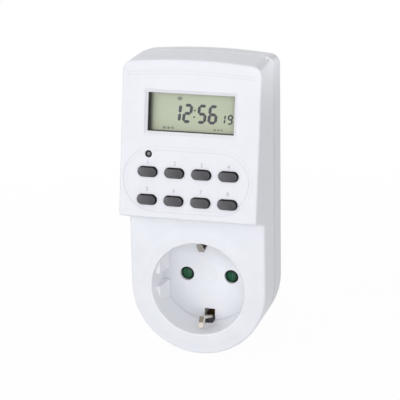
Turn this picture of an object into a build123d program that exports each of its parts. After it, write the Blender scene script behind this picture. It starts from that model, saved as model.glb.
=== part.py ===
from build123d import *
import os
from math import atan, cos, radians, sin, sqrt, tan

os.makedirs("parts", exist_ok=True)

# A plug-in timer switch.  Millimetres.  +Z is up, +X is to the right of someone
# who faces it, and +Y runs into the wall.  The origin is the middle of the face
# of the plug base, where it seats in the wall socket.

# ---- case ----------------------------------------------------------------
case_width = 56.6
case_depth = 28.5
case_top = 96.1
wall = 2.0
edge_round = 1.0
back_round = 2.0
corner_round = 4.2
crown_radius = 240.0
top_slope = 0.2
back_slope = 7.2
parting_depth = 15.0
parting_chamfer = 0.25
lip_height = 1.5
lip_thickness = 1.0
lip_gap = 0.1

# ---- display and keypad module on the front of the case ------------------
step_depth = 13.9
step_low = 29.2
step_high = 34.2
lean = 10.5
face_round = 1.0
line_groove_up = 58.6
line_groove_width = 1.1
groove_depth = 0.2
line_groove_side = 2.5

# ---- display ---------------------------------------------------------------
display_width = 35.0
display_height = 15.2
display_up = 42.0
bevel_width = 37.6
bevel_height = 18.1
bevel_depth = 1.2
window_thickness = 0.6
window_margin = 2.6
lcd_depth = 4.4
lcd_thickness = 2.0
lcd_margin_x = 2.0
lcd_margin_up = 2.9
holder_wall = 1.2
zebra_width = 2.0

# ---- keys --------------------------------------------------------------------
key_columns = 4
key_rows = 2
keypad_side = 7.8
key_apart = 3.0
key_pitch_up = 11.1
keypad_up = 12.7
keypad_shift = -0.2
key_height = 4.0
key_gap = 0.18
key_stand = 1.1
key_travel = 0.8
key_round = 0.5
flange_margin = 0.8
flange_thickness = 0.8
running_gap = 0.3
pad_groove_side = 2.0
pad_groove_height = 26.0
pad_groove_up = 15.4
pad_groove_shift = -0.4
pad_groove_width = 1.4
reset_x = -16.6
reset_up = 25.3
reset_diameter = 2.96
reset_sunk = 0.7
mat_thickness = 0.8
dome_radius = 2.6
dome_top_radius = 1.7
mat_side_gap = 0.2
mat_top = 28.4
mat_bottom = 2.2

# ---- boards --------------------------------------------------------------------
board_thickness = 1.6
control_depth = 8.0
control_side_gap = 0.9
control_bottom = 1.6
control_top = 50.5
power_depth = 20.5
power_side_gap = 2.3
power_bottom = 31.5
power_top = 82.0
post_radius = 1.7
control_post_inset = 1.7
control_post_ups = (8.0, 27.0)
power_post_inset = 3.0
power_post_zs = (36.0, 78.0)
board_screw_diameter = 1.6
board_screw_head = 2.8
board_screw_head_height = 1.0
board_screw_length = 5.0

# ---- socket --------------------------------------------------------------------
recess_diameter = 39.4
floor_to_back = 11.4
tube_wall = 2.0
rim_round = 0.5
rim_disc_side = 2.3
rim_disc_height = 0.3
rim_disc_slope = 2.6
guide_x = 16.6
guide_half_height = 9.8
guide_start = 6.5
guide_draft = 1.5
guide_slot = 5.5
insert_thickness = 1.5
contact_spacing = 19.0
hole_diameter = 6.0
slot_width = 4.5
slot_start = 14.8
slot_forward = 4.0

# ---- shutter behind the socket floor ----------------------------------------
shutter_travel = 6.3
shutter_half_width = 3.2
shutter_half_height = 3.4
shutter_ridge = 1.7
shutter_plate = 1.5
shutter_bar_height = 2.8
housing_inset = 1.3
housing_floor = 1.6
lug_length = 2.0
lug_height = 3.0
lug_x = -1.0
spring_length = 12.0
spring_radius = 1.1
spring_wire = 0.35
spring_turns = 8

# ---- contacts and plug ---------------------------------------------------------
pin_diameter = 4.8
pin_length = 19.0
pin_tip_round = 1.8
pin_seat_diameter = 5.6
pin_collar_diameter = 6.6
pin_collar_height = 1.5
pin_tail_diameter = 3.0
sleeve_bore = 4.9
sleeve_wall = 0.75
sleeve_length = 12.0
sleeve_slot = 1.0
plug_base_length = 17.0
plug_base_diameter = 37.4
plug_base_wall = 2.7
plug_base_end = 3.0
plug_base_round = 1.2
plug_guide_gap = 0.3
plug_collar = 1.1
plug_flange = 1.3
flange_height = 1.2
plug_seat_gap = 0.1
carrier_thickness = 2.0
bar_thickness = 0.8
bar_width = 3.0
strip_thickness = 1.0
strip_width = 3.2
strip_line = 18.0
bridge_thickness = 0.6
strip_bow = 0.6
clip_tip_depth = 2.7
clip_tip_out = 18.0
clip_tip_width = 2.0
clip_hump_depth = 6.0
clip_hump_in = 14.6

# ---- case screws -----------------------------------------------------------------
upper_screw_z = 87.0
boss_bite = 0.3
boss_gap = 0.4
screw_clearance = 0.2
screw_head_height = 1.4
driver_slot_width = 0.5
driver_slot_depth = 0.7
screw_head_sunk = 1.7
screw_length = 17.0
boss_hole_depth = 8.5

# ---- parts on the power board ---------------------------------------------------
relay_width = 19.0
relay_height = 15.5
relay_stand = 15.0
relay_x = 10.5
relay_z = 47.0
relay_wall = 0.8
relay_base = 1.6
relay_swing = 4.0
relay_contact_pitch = 2.4
coil_radius = 4.4
coil_length = 8.4
core_radius = 1.6
yoke_thickness = 1.2
film_cap_size = (17.5, 7.0, 10.5)
film_cap_place = (-11.0, 72.0)
can_radius = 4.0
can_length = 11.0
can_place = (6.0, 74.0)
varistor_radius = 5.0
varistor_thickness = 3.6
varistor_place = (18.0, 64.0)
varistor_leg = 2.0
fuse_radius = 1.9
fuse_length = 9.0
fuse_place = (-19.0, 51.0)
diode_count = 4
diode_radius = 1.3
diode_length = 5.0
diode_pitch = 4.2
diode_place = (4.0, 60.0)

# ---- parts on the control board ---------------------------------------------------
chip_size = 12.0
chip_thickness = 2.0
chip_taper = 8.0
chip_up = 17.0
chip_x = 4.0
crystal_radius = 1.0
crystal_length = 6.0
crystal_place = (-8.0, 21.0)
cell_radius = 7.0
cell_thickness = 5.0
cell_place = (-8.0, 38.0)
tab_thickness = 0.4
tab_width = 3.0
ribbon_thickness = 0.5
ribbon_width = 9.0
ribbon_x = -14.0
ribbon_up = 10.0
ribbon_z = 40.0
ribbon_tab = 3.0

# ---- worked out from the sizes above -----------------------------------------------
half_width = case_width / 2
front_y = -(plug_base_length + case_depth)
back_y = -plug_base_length
parting_y = front_y + parting_depth
line_groove_reach = half_width - line_groove_side
recess_depth = case_depth - floor_to_back
recess_radius = recess_diameter / 2
tube_radius = recess_radius + tube_wall
rim_disc_radius = half_width - rim_disc_side
housing_radius = tube_radius - housing_inset
pad_end_y = front_y + guide_start
floor_y = front_y + recess_depth
insert_back_y = floor_y + insert_thickness
hole_radius = hole_diameter / 2
contact_x = contact_spacing / 2
contact_places = ((-contact_x, 0), (contact_x, 0))
pin_radius = pin_diameter / 2
base_radius = plug_base_diameter / 2
base_hollow_radius = base_radius - plug_base_wall
plug_collar_radius = base_radius + plug_collar
flange_y = back_y - wall - flange_height
groove_in = strip_line - strip_thickness / 2
groove_out = base_radius + running_gap
end_wall_y = -plug_base_end
collar_y = end_wall_y - pin_collar_height
carrier_y = collar_y - carrier_thickness
tail_y = carrier_y - pin_tail_diameter / 2
# the case's screw bosses fill the room between the tube and the side wall
boss_radius = (half_width - wall - tube_radius + boss_bite - boss_gap) / 2
screw_diameter = 0.8 * boss_radius
screw_head_diameter = 1.7 * boss_radius
screw_reach = half_width - wall - boss_radius + boss_bite
lower_screw_reach = screw_reach / sqrt(2)
screw_places = [
    (side * x, z)
    for side in (-1, 1)
    for x, z in ((screw_reach, upper_screw_z), (lower_screw_reach, -lower_screw_reach))
]
control_half_width = half_width - wall - control_side_gap
control_post_x = control_half_width - control_post_inset
control_post_places = [
    (x, up) for x in (-control_post_x, control_post_x) for up in control_post_ups
]
power_half_width = half_width - wall - power_side_gap
power_post_x = power_half_width - power_post_inset
power_post_places = [(x, z) for x in (-power_post_x, power_post_x) for z in power_post_zs]
mat_half_width = control_post_x - post_radius - mat_side_gap
pad_groove_length = case_width - 2 * pad_groove_side
key_pitch_x = (case_width - 2 * keypad_side + key_apart) / key_columns
key_length = key_pitch_x - key_apart
key_places = [
    (
        keypad_shift + (column - (key_columns - 1) / 2) * key_pitch_x,
        keypad_up + ((key_rows - 1) / 2 - row) * key_pitch_up,
    )
    for row in range(key_rows)
    for column in range(key_columns)
]
flange_back = wall + running_gap + flange_thickness
key_foot = flange_back + running_gap
dome_height = control_depth - mat_thickness - key_foot - key_travel - running_gap
control_back = control_depth + board_thickness
power_front_y = front_y + power_depth
power_back_y = power_front_y + board_thickness


def facing(y):
    # A plane across the case at depth y, seen from the front.
    return Plane(origin=(0, y, 0), x_dir=(1, 0, 0), z_dir=(0, -1, 0))


# The leaning face of the module: local x is X, local y runs up the face from the
# module's lower edge, and its normal points out at the user.
face_plane = Plane(
    origin=(0, front_y - step_depth, step_high),
    x_dir=(1, 0, 0),
    z_dir=(0, -cos(radians(lean)), sin(radians(lean))),
)
out_axis = Axis(face_plane.origin, face_plane.z_dir)
top_edge_y = front_y - step_depth + (case_top - step_high) * tan(radians(lean))


def behind_face(depth):
    # A plane parallel to the leaning face, this far inside it.
    return face_plane.offset(-depth)


def leaning_point(up, depth):
    # The (y, z) of a point this far up the leaning face and this far behind it.
    point = face_plane.from_local_coords(Vector(0, up, -depth))
    return (point.Y, point.Z)


def front_outline(inset):
    # The outline of the case from the front: round below, straight sides.
    Circle(half_width - inset)
    with Locations((0, case_top / 2 + corner_round)):
        Rectangle(2 * (half_width - inset), case_top + 2 * corner_round)


def trim_to_crown(inset):
    # Cuts the top of what is drawn to the case's crowned and rounded top.
    # The top runs almost level to just behind the parting line, then falls.
    drop = crown_radius - sqrt(crown_radius**2 - half_width**2)
    ridge_y = parting_y + 4 * parting_chamfer
    ridge_top = case_top - (ridge_y - top_edge_y) * tan(radians(top_slope))
    for start_y, start_z, angle in (
        (top_edge_y, case_top, top_slope),
        (ridge_y, ridge_top, back_slope),
    ):
        slope = radians(angle)
        crown_plane = Plane(
            origin=(0, start_y, start_z),
            x_dir=(1, 0, 0),
            z_dir=(0, -cos(slope), sin(slope)),
        )
        with BuildSketch(crown_plane) as crown:
            with BuildLine():
                ThreePointArc((-half_width, -drop), (0, 0), (half_width, -drop))
                Polyline(
                    (half_width, -drop),
                    (half_width, -2 * case_top),
                    (-half_width, -2 * case_top),
                    (-half_width, -drop),
                )
            make_face()
            fillet(crown.vertices().group_by(Axis.Y)[-1], corner_round)
            if inset > 0:
                offset(amount=-inset)
        reach = 2 * case_depth + step_depth
        extrude(crown.sketch, amount=reach, both=True, mode=Mode.INTERSECT)


def case_body(inset):
    # The plain body of the case, or with an inset the room inside its walls.
    with BuildPart() as body:
        with BuildSketch(facing(front_y + inset)):
            front_outline(inset)
        extrude(amount=-(case_depth - 2 * inset))
        trim_to_crown(inset)
        if inset == 0:
            fillet(body.faces().sort_by(Axis.Y)[0].edges(), edge_round)
            fillet(body.faces().sort_by(Axis.Y)[-1].edges(), back_round)
    return body.part


def case_module(inset):
    # The leaning module on the front of the body, or the room inside its walls.
    under = atan((step_high - step_low) / step_depth)
    back = front_y + 2 * edge_round + wall
    reach = case_top + 2 * corner_round
    lean_back = (reach - step_high) * tan(radians(lean))
    with BuildPart() as module:
        with BuildSketch(Plane.YZ):
            Polygon(
                (back, step_low - (back - front_y) * tan(under)),
                (front_y - step_depth, step_high),
                (front_y - step_depth + lean_back, reach),
                (back, reach),
                align=None,
            )
            if inset > 0:
                offset(amount=-inset, kind=Kind.INTERSECTION)
        extrude(amount=half_width - inset, both=True)
        trim_to_crown(inset)
        if inset == 0:
            under_face = module.faces().sort_by(Axis.Z)[0]
            fillet(under_face.edges().filter_by(Axis.X, reverse=True), face_round)
            leaning_face = module.faces().sort_by(out_axis)[-1]
            fillet(leaning_face.edges(), face_round)
    return module.part


outer_body = case_body(0)
outer_module = case_module(0)
inner_body = case_body(wall)
inner_module = case_module(wall)

with BuildPart() as guide_pads:
    # they thicken from the rim inwards, up to the socket floor
    with BuildSketch(facing(pad_end_y)):
        Circle(recess_radius + tube_wall / 2)
        Rectangle(2 * guide_x, 2 * recess_diameter, mode=Mode.SUBTRACT)
        Rectangle(2 * recess_diameter, 2 * guide_half_height, mode=Mode.INTERSECT)
        Rectangle(2 * recess_diameter, guide_slot, mode=Mode.SUBTRACT)
    extrude(amount=-(recess_depth - guide_start))
    with BuildSketch(Plane.XY):
        for side in (-1, 1):
            with BuildLine():
                Polyline(
                    (side * guide_x, floor_y),
                    (side * (guide_x + guide_draft), pad_end_y),
                    (side * guide_x, pad_end_y),
                    (side * guide_x, floor_y),
                )
            make_face()
    extrude(amount=guide_half_height, both=True, mode=Mode.SUBTRACT)

# ---- front cover -----------------------------------------------------------------
with BuildPart() as front_cover:
    add(outer_body)
    add(outer_module)
    add(inner_body, mode=Mode.SUBTRACT)
    add(inner_module, mode=Mode.SUBTRACT)
    split(bisect_by=facing(parting_y), keep=Keep.TOP)
    parting_edges = front_cover.faces().sort_by(Axis.Y)[-1].outer_wire().edges()
    chamfer(parting_edges, parting_chamfer)
    # the low disc and the tube round the socket
    with BuildSketch(facing(front_y)):
        Circle(rim_disc_radius)
    with BuildSketch(facing(front_y - rim_disc_height)):
        Circle(rim_disc_radius - rim_disc_slope)
    loft()
    with BuildSketch(facing(front_y)):
        Circle(tube_radius)
    extrude(amount=-recess_depth)
    with BuildSketch(facing(front_y - rim_disc_height)):
        Circle(recess_radius)
    extrude(amount=-(recess_depth + rim_disc_height), mode=Mode.SUBTRACT)
    rim = front_cover.edges().filter_by(GeomType.CIRCLE)
    rim = rim.filter_by(lambda edge: abs(edge.radius - recess_radius) < edge_round / 10)
    fillet(rim.sort_by(Axis.Y)[0], rim_round)
    # the pads that guide the plug, each with a slot down its middle
    add(guide_pads.part)
    # slots in the tube for the earth strips
    with BuildSketch(facing(floor_y - slot_forward)):
        Rectangle(slot_width, 2 * (tube_radius + wall))
        Rectangle(slot_width, 2 * slot_start, mode=Mode.SUBTRACT)
    extrude(amount=-slot_forward, mode=Mode.SUBTRACT)
    # display opening inside a shallow sloping frame
    with BuildSketch(face_plane):
        with Locations((0, display_up)):
            Rectangle(bevel_width, bevel_height)
    with BuildSketch(behind_face(bevel_depth)):
        with Locations((0, display_up)):
            Rectangle(display_width, display_height)
    loft(mode=Mode.SUBTRACT)
    with BuildSketch(face_plane):
        with Locations((0, display_up)):
            RectangleRounded(display_width, display_height, key_round)
    extrude(amount=-(wall + running_gap), mode=Mode.SUBTRACT)
    # key openings and the small hole over the reset button
    with BuildSketch(face_plane):
        with Locations(*key_places):
            SlotOverall(key_length + 2 * key_gap, key_height + 2 * key_gap)
        with Locations((reset_x, reset_up)):
            Circle(reset_diameter / 2)
    extrude(amount=-(wall + running_gap), mode=Mode.SUBTRACT)
    # fine grooves: one round the keypad and an arched one above the display
    with BuildSketch(face_plane):
        with Locations((pad_groove_shift, pad_groove_up)):
            SlotOverall(pad_groove_length, pad_groove_height)
            SlotOverall(
                pad_groove_length - 2 * pad_groove_width,
                pad_groove_height - 2 * pad_groove_width,
                mode=Mode.SUBTRACT,
            )
    extrude(amount=-groove_depth, mode=Mode.SUBTRACT)
    with BuildSketch(face_plane):
        with Locations((0, line_groove_up - crown_radius)):
            Circle(crown_radius)
            Circle(crown_radius - line_groove_width, mode=Mode.SUBTRACT)
        with Locations((0, line_groove_up)):
            Rectangle(2 * line_groove_reach, 2 * corner_round, mode=Mode.INTERSECT)
    extrude(amount=-groove_depth, mode=Mode.SUBTRACT)
    # bosses for the case screws
    for x, z in screw_places:
        with BuildSketch(facing(parting_y)):
            with Locations((x, z)):
                Circle(boss_radius)
        extrude(until=Until.NEXT)
        with BuildSketch(facing(parting_y)):
            with Locations((x, z)):
                Circle((screw_diameter + screw_clearance) / 2)
        extrude(amount=boss_hole_depth, mode=Mode.SUBTRACT)
    # posts for the control board
    with BuildSketch(behind_face(control_depth)):
        with Locations(*control_post_places):
            Circle(post_radius)
    extrude(amount=control_depth - wall / 2)
    with BuildSketch(behind_face(control_depth)):
        with Locations(*control_post_places):
            Circle((board_screw_diameter + screw_clearance) / 2)
    extrude(amount=board_screw_length, mode=Mode.SUBTRACT)
front_cover.part.label = "front_cover"
export_step(front_cover.part, "parts/front_cover.step")

# ---- back cover -------------------------------------------------------------------
with BuildPart() as lip:
    # a lip that stands inside the front cover's wall, between the screw bosses
    add(case_body(wall + lip_gap))
    add(case_body(wall + lip_gap + lip_thickness), mode=Mode.SUBTRACT)
    split(bisect_by=facing(parting_y - lip_height), keep=Keep.BOTTOM)
    split(bisect_by=facing(parting_y), keep=Keep.TOP)
    with BuildSketch(facing(parting_y)):
        with Locations(*screw_places):
            Circle(boss_radius + screw_clearance)
    extrude(amount=2 * lip_height, both=True, mode=Mode.SUBTRACT)

with BuildPart() as lip_root:
    # behind the parting line the lip thickens the back cover's own wall
    add(case_body(wall / 2))
    add(case_body(wall + lip_gap + lip_thickness), mode=Mode.SUBTRACT)
    split(bisect_by=facing(parting_y), keep=Keep.BOTTOM)
    split(bisect_by=facing(parting_y + lip_height), keep=Keep.TOP)

with BuildPart() as back_cover:
    add(outer_body)
    add(inner_body, mode=Mode.SUBTRACT)
    split(bisect_by=facing(parting_y), keep=Keep.BOTTOM)
    chamfer(back_cover.faces().sort_by(Axis.Y)[0].outer_wire().edges(), parting_chamfer)
    add(lip_root.part)
    add(lip.part)
    # the round hole that the plug base stands in
    with BuildSketch(facing(back_y)):
        Circle(plug_collar_radius + plug_seat_gap)
    extrude(amount=wall, mode=Mode.SUBTRACT)
    # bosses and sunk holes for the case screws
    for x, z in screw_places:
        with BuildSketch(facing(back_y - wall / 2)):
            with Locations((x, z)):
                Circle(boss_radius)
        extrude(amount=case_depth - parting_depth - wall / 2)
        with BuildSketch(facing(back_y)):
            with Locations((x, z)):
                Circle((screw_diameter + screw_clearance) / 2)
        extrude(amount=case_depth - parting_depth, mode=Mode.SUBTRACT)
        with BuildSketch(facing(back_y)):
            with Locations((x, z)):
                Circle((screw_head_diameter + screw_clearance) / 2)
        extrude(amount=screw_head_sunk, mode=Mode.SUBTRACT)
    # posts for the power board
    with BuildSketch(facing(power_back_y)):
        with Locations(*power_post_places):
            Circle(post_radius)
    extrude(amount=-(back_y - wall / 2 - power_back_y))
    with BuildSketch(facing(power_back_y)):
        with Locations(*power_post_places):
            Circle((board_screw_diameter + screw_clearance) / 2)
    extrude(amount=-board_screw_length, mode=Mode.SUBTRACT)
back_cover.part.label = "back_cover"
export_step(back_cover.part, "parts/back_cover.step")

# ---- plug base: round, with two flats and a rib down the middle of each ---------------
with BuildPart() as plug_base:
    with BuildSketch(facing(back_y)):
        Circle(base_radius)
        Rectangle(2 * (guide_x - plug_guide_gap), plug_base_diameter, mode=Mode.INTERSECT)
        with BuildSketch(mode=Mode.ADD):
            Circle(base_radius)
            Rectangle(plug_base_diameter, guide_slot - 2 * plug_guide_gap, mode=Mode.INTERSECT)
    extrude(amount=-plug_base_length)
    fillet(plug_base.faces().sort_by(Axis.Y)[-1].edges(), plug_base_round / 2)
    # a collar in the back cover's hole, and a flange that bears on its inner face
    with BuildSketch(facing(back_y)):
        Circle(plug_collar_radius)
    extrude(amount=wall)
    with BuildSketch(facing(back_y - wall)):
        Circle(plug_collar_radius + plug_flange)
    extrude(amount=flange_height)
    with BuildSketch(facing(flange_y)):
        Circle(base_hollow_radius)
        Rectangle(2 * (guide_x - plug_base_wall), plug_base_diameter, mode=Mode.INTERSECT)
    extrude(amount=-(end_wall_y - flange_y), mode=Mode.SUBTRACT)
    # holes for the pins, and grooves along the base for the earth strips
    with BuildSketch(facing(0)):
        with Locations(*contact_places):
            Circle(pin_seat_diameter / 2)
    extrude(amount=plug_base_end, mode=Mode.SUBTRACT)
    for side in (-1, 1):
        with BuildSketch(facing(0)):
            with Locations((0, side * (groove_in + groove_out) / 2)):
                Rectangle(slot_width, groove_out - groove_in)
        extrude(amount=-flange_y, mode=Mode.SUBTRACT)
plug_base.part.label = "plug_base"
export_step(plug_base.part, "parts/plug_base.step")

# ---- floor of the socket -----------------------------------------------------------
with BuildPart() as socket_floor:
    with BuildSketch(facing(floor_y)):
        Circle(tube_radius)
        with Locations(*contact_places):
            Circle(hole_radius, mode=Mode.SUBTRACT)
        for side in (-1, 1):
            with Locations((0, side * (slot_start + tube_radius))):
                Rectangle(slot_width, 2 * tube_radius, mode=Mode.SUBTRACT)
    extrude(amount=-insert_thickness)
socket_floor.part.label = "socket_floor"
export_step(socket_floor.part, "parts/socket_floor.step")

# ---- housing behind the floor, in which the shutter slides ---------------------------
slider_front_y = insert_back_y + running_gap
slider_back_y = slider_front_y + shutter_ridge + shutter_plate
pocket_floor_y = slider_back_y + running_gap
bar_reach = contact_x + shutter_half_width / 2
bar_low = shutter_half_height
bar_high = bar_low + shutter_bar_height
lug_high = bar_high + lug_height
pocket_left = -contact_x - shutter_half_width - running_gap
pocket_right = contact_x + shutter_half_width + shutter_travel + running_gap
lug_left = lug_x - lug_length / 2
spring_start = lug_x + lug_length / 2
spring_end = spring_start + spring_length
with BuildPart() as shutter_housing:
    with BuildSketch(facing(insert_back_y)):
        Circle(housing_radius)
        for side in (-1, 1):
            with Locations((0, side * (slot_start + housing_radius))):
                Rectangle(slot_width, 2 * housing_radius, mode=Mode.SUBTRACT)
    extrude(amount=-(pocket_floor_y + housing_floor - insert_back_y))
    with BuildSketch(facing(insert_back_y)):
        with Locations(((pocket_left + pocket_right) / 2, 0)):
            Rectangle(pocket_right - pocket_left, 2 * (shutter_half_height + running_gap))
        with Locations((shutter_travel / 2, bar_low)):
            Rectangle(
                2 * (bar_reach + running_gap) + shutter_travel,
                2 * (shutter_bar_height + running_gap),
            )
        with Locations(((lug_left - running_gap + spring_end) / 2, bar_high + lug_height / 2)):
            Rectangle(spring_end - lug_left + running_gap, lug_height + 2 * running_gap)
    extrude(amount=-(pocket_floor_y - insert_back_y), mode=Mode.SUBTRACT)
    with BuildSketch(facing(pocket_floor_y)):
        with Locations(*contact_places):
            Circle(hole_radius)
    extrude(amount=-housing_floor, mode=Mode.SUBTRACT)
shutter_housing.part.label = "shutter_housing"
export_step(shutter_housing.part, "parts/shutter_housing.step")

# ---- shutter: two ridged pads joined by a bar above the pin holes --------------------
with BuildPart() as shutter:
    for x, z in contact_places:
        with BuildSketch(Plane.XY.offset(-shutter_half_height)):
            Polygon(
                (x - shutter_half_width, slider_front_y + shutter_ridge),
                (x, slider_front_y),
                (x + shutter_half_width, slider_front_y + shutter_ridge),
                (x + shutter_half_width, slider_back_y),
                (x - shutter_half_width, slider_back_y),
                align=None,
            )
        extrude(amount=2 * shutter_half_height)
    with BuildSketch(facing(slider_back_y)):
        with Locations((0, (bar_low + bar_high) / 2)):
            Rectangle(2 * bar_reach, shutter_bar_height)
        with Locations((lug_x, bar_high + lug_height / 2)):
            Rectangle(lug_length, lug_height)
    extrude(amount=shutter_plate)
shutter.part.label = "shutter"
export_step(shutter.part, "parts/shutter.step")

with BuildPart() as shutter_spring:
    spring_y = slider_back_y - shutter_plate / 2 - running_gap
    spring_z = bar_high + lug_height / 2
    with BuildLine() as coil:
        Helix(
            pitch=(spring_length - 2 * spring_wire) / spring_turns,
            height=spring_length - 2 * spring_wire,
            radius=spring_radius,
            center=(spring_start + spring_wire, spring_y, spring_z),
            direction=(1, 0, 0),
        )
    with BuildSketch(Plane(coil.line @ 0, z_dir=coil.line % 0)):
        Circle(spring_wire / 2)
    sweep(path=coil.line)
shutter_spring.part.label = "shutter_spring"
export_step(shutter_spring.part, "parts/shutter_spring.step")


def strip(points, x, width, thickness):
    # A flat metal strip at this x that follows a line of (y, z) points.
    with BuildPart() as band:
        with BuildSketch(Plane.YZ.offset(x)) as side_view:
            with BuildLine():
                Polyline(*points)
            trace(line_width=thickness)
        extrude(side_view.sketch, amount=width / 2, both=True)
    return band.part


# ---- spring sleeves that grip the pins of the appliance's plug -----------------------
sleeve_y = pocket_floor_y + housing_floor
sleeve_end_y = sleeve_y + sleeve_length
sleeve_radius = sleeve_bore / 2 + sleeve_wall
for node, side in (("neutral_sleeve", -1), ("live_sleeve", 1)):
    with BuildPart() as sleeve:
        with BuildSketch(facing(sleeve_y)):
            with Locations((side * contact_x, 0)):
                Circle(sleeve_radius)
                Circle(sleeve_bore / 2, mode=Mode.SUBTRACT)
            with Locations((side * (contact_x + sleeve_radius), 0)):
                Rectangle(sleeve_radius, sleeve_slot, mode=Mode.SUBTRACT)
        extrude(amount=-sleeve_length)
        with BuildSketch(facing(sleeve_end_y)):
            with Locations((side * (contact_x - sleeve_radius), 0)):
                Rectangle(bar_width, bar_width)
            with Locations((side * contact_x, 0)):
                Circle(sleeve_bore / 2, mode=Mode.SUBTRACT)
        extrude(amount=bar_thickness)
    sleeve.part.label = node
    export_step(sleeve.part, f"parts/{node}.step")

# ---- live and neutral pins of the plug ------------------------------------------------
for node, side in (("neutral_pin", -1), ("live_pin", 1)):
    with BuildPart() as pin:
        with BuildSketch(facing(0)):
            with Locations((side * contact_x, 0)):
                Circle(pin_radius)
        extrude(amount=-pin_length)
        fillet(pin.edges().sort_by(Axis.Y)[-1], pin_tip_round)
        # the seat fills the hole in the plug base's end, and the collar sits behind it
        with BuildSketch(facing(0)):
            with Locations((side * contact_x, 0)):
                Circle(pin_seat_diameter / 2)
        extrude(amount=plug_base_end)
        with BuildSketch(facing(end_wall_y)):
            with Locations((side * contact_x, 0)):
                Circle(pin_collar_diameter / 2)
        extrude(amount=pin_collar_height)
        with BuildSketch(facing(tail_y)):
            with Locations((side * contact_x, 0)):
                Circle(pin_tail_diameter / 2)
        extrude(amount=-(collar_y - tail_y))
    pin.part.label = node
    export_step(pin.part, f"parts/{node}.step")

with BuildPart() as pin_carrier:
    with BuildSketch(facing(carrier_y)):
        Circle(base_hollow_radius - lip_gap)
        Rectangle(
            2 * (guide_x - plug_base_wall - lip_gap), plug_base_diameter, mode=Mode.INTERSECT
        )
        with Locations(*contact_places):
            Circle(pin_tail_diameter / 2, mode=Mode.SUBTRACT)
    extrude(amount=-carrier_thickness)
pin_carrier.part.label = "pin_carrier"
export_step(pin_carrier.part, "parts/pin_carrier.step")

# ---- bars that carry the current ---------------------------------------------------------
bar_run_y = flange_y - plug_seat_gap - bar_thickness / 2
feed_up = base_hollow_radius * cos(radians(45)) - bar_thickness / 2
feed_back_y = tail_y - bar_thickness / 2
for node, side in (("neutral_feed_bar", -1), ("live_feed_bar", 1)):
    feed_bar = strip(
        [
            (feed_back_y, -pin_tail_diameter / 2),
            (feed_back_y, feed_up),
            (bar_run_y, feed_up),
            (bar_run_y, power_bottom + bar_width),
            (power_back_y, power_bottom + bar_width),
        ],
        side * contact_x,
        bar_width,
        bar_thickness,
    )
    feed_bar.label = node
    export_step(feed_bar, f"parts/{node}.step")

link_x = contact_x - sleeve_radius - bar_width / 2
switched_bar = strip(
    [
        (sleeve_end_y - bar_thickness / 2, -bar_width / 2),
        (sleeve_end_y - bar_thickness / 2, feed_up),
        (bar_run_y, feed_up),
        (bar_run_y, power_bottom + bar_width),
        (power_back_y, power_bottom + bar_width),
    ],
    link_x - bar_width / 2,
    bar_width,
    bar_thickness,
)
switched_bar.label = "switched_bar"
export_step(switched_bar, "parts/switched_bar.step")

# ---- earth strips: from the socket's clips through to the back of the plug base ------------
def front_depth(depth):
    # The y of a point this deep behind the front of the case.
    return front_y + depth


clip_tip = (front_depth(clip_tip_depth), clip_tip_out)
clip_hump = (front_depth(clip_hump_depth), clip_hump_in)
for node, side in (("lower_earth_strip", -1), ("upper_earth_strip", 1)):
    earth_line = [
        clip_tip,
        clip_hump,
        (floor_y, strip_line),
        (back_y, strip_line),
        (back_y + plug_base_length / 3, strip_line + strip_bow),
        (back_y + plug_base_length * 2 / 3, strip_line + strip_bow),
        (end_wall_y, strip_line),
    ]
    with BuildPart() as earth_strip:
        add(strip([(y, side * z) for y, z in earth_line], 0, strip_width, strip_thickness))
        # each clip narrows towards its tip
        with BuildSketch(Plane.XY):
            with BuildLine():
                Polyline(
                    (strip_width / 2, 0),
                    (strip_width / 2, floor_y),
                    (clip_tip_width / 2, clip_tip[0] - strip_thickness),
                    (-clip_tip_width / 2, clip_tip[0] - strip_thickness),
                    (-strip_width / 2, floor_y),
                    (-strip_width / 2, 0),
                    (strip_width / 2, 0),
                )
            make_face()
        extrude(amount=2 * strip_line, both=True, mode=Mode.INTERSECT)
    earth_strip.part.label = node
    export_step(earth_strip.part, f"parts/{node}.step")

with BuildPart() as earth_bridge:
    with BuildSketch(facing(sleeve_y)):
        Rectangle(strip_width, 2 * strip_line - strip_thickness)
    extrude(amount=-bridge_thickness)
earth_bridge.part.label = "earth_bridge"
export_step(earth_bridge.part, "parts/earth_bridge.step")

# ---- power board and what stands on it --------------------------------------------------------
with BuildPart() as power_board:
    with BuildSketch(facing(power_front_y)):
        with Locations((0, (power_bottom + power_top) / 2)):
            Rectangle(2 * power_half_width, power_top - power_bottom)
        with Locations(*power_post_places):
            Circle((board_screw_diameter + screw_clearance) / 2, mode=Mode.SUBTRACT)
    extrude(amount=-board_thickness)
power_board.part.label = "power_board"
export_step(power_board.part, "parts/power_board.step")


def power_plane(stand=0.0):
    # A plane this far in front of the power board.
    return facing(power_front_y - stand)


with BuildPart() as relay_case:
    with BuildSketch(power_plane(relay_base)):
        with Locations((relay_x, relay_z)):
            Rectangle(relay_width, relay_height)
    extrude(amount=relay_stand - relay_base)
    fillet(relay_case.edges().filter_by(Axis.Y), relay_wall)
    with BuildSketch(power_plane(relay_base)):
        with Locations((relay_x, relay_z)):
            Rectangle(relay_width - 2 * relay_wall, relay_height - 2 * relay_wall)
    extrude(amount=relay_stand - relay_base - relay_wall, mode=Mode.SUBTRACT)
relay_case.part.label = "relay_case"
export_step(relay_case.part, "parts/relay_case.step")

with BuildPart() as relay_base_plate:
    with BuildSketch(power_plane()):
        with Locations((relay_x, relay_z)):
            Rectangle(relay_width, relay_height)
    extrude(amount=relay_base)
relay_base_plate.part.label = "relay_base"
export_step(relay_base_plate.part, "parts/relay_base.step")

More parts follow.
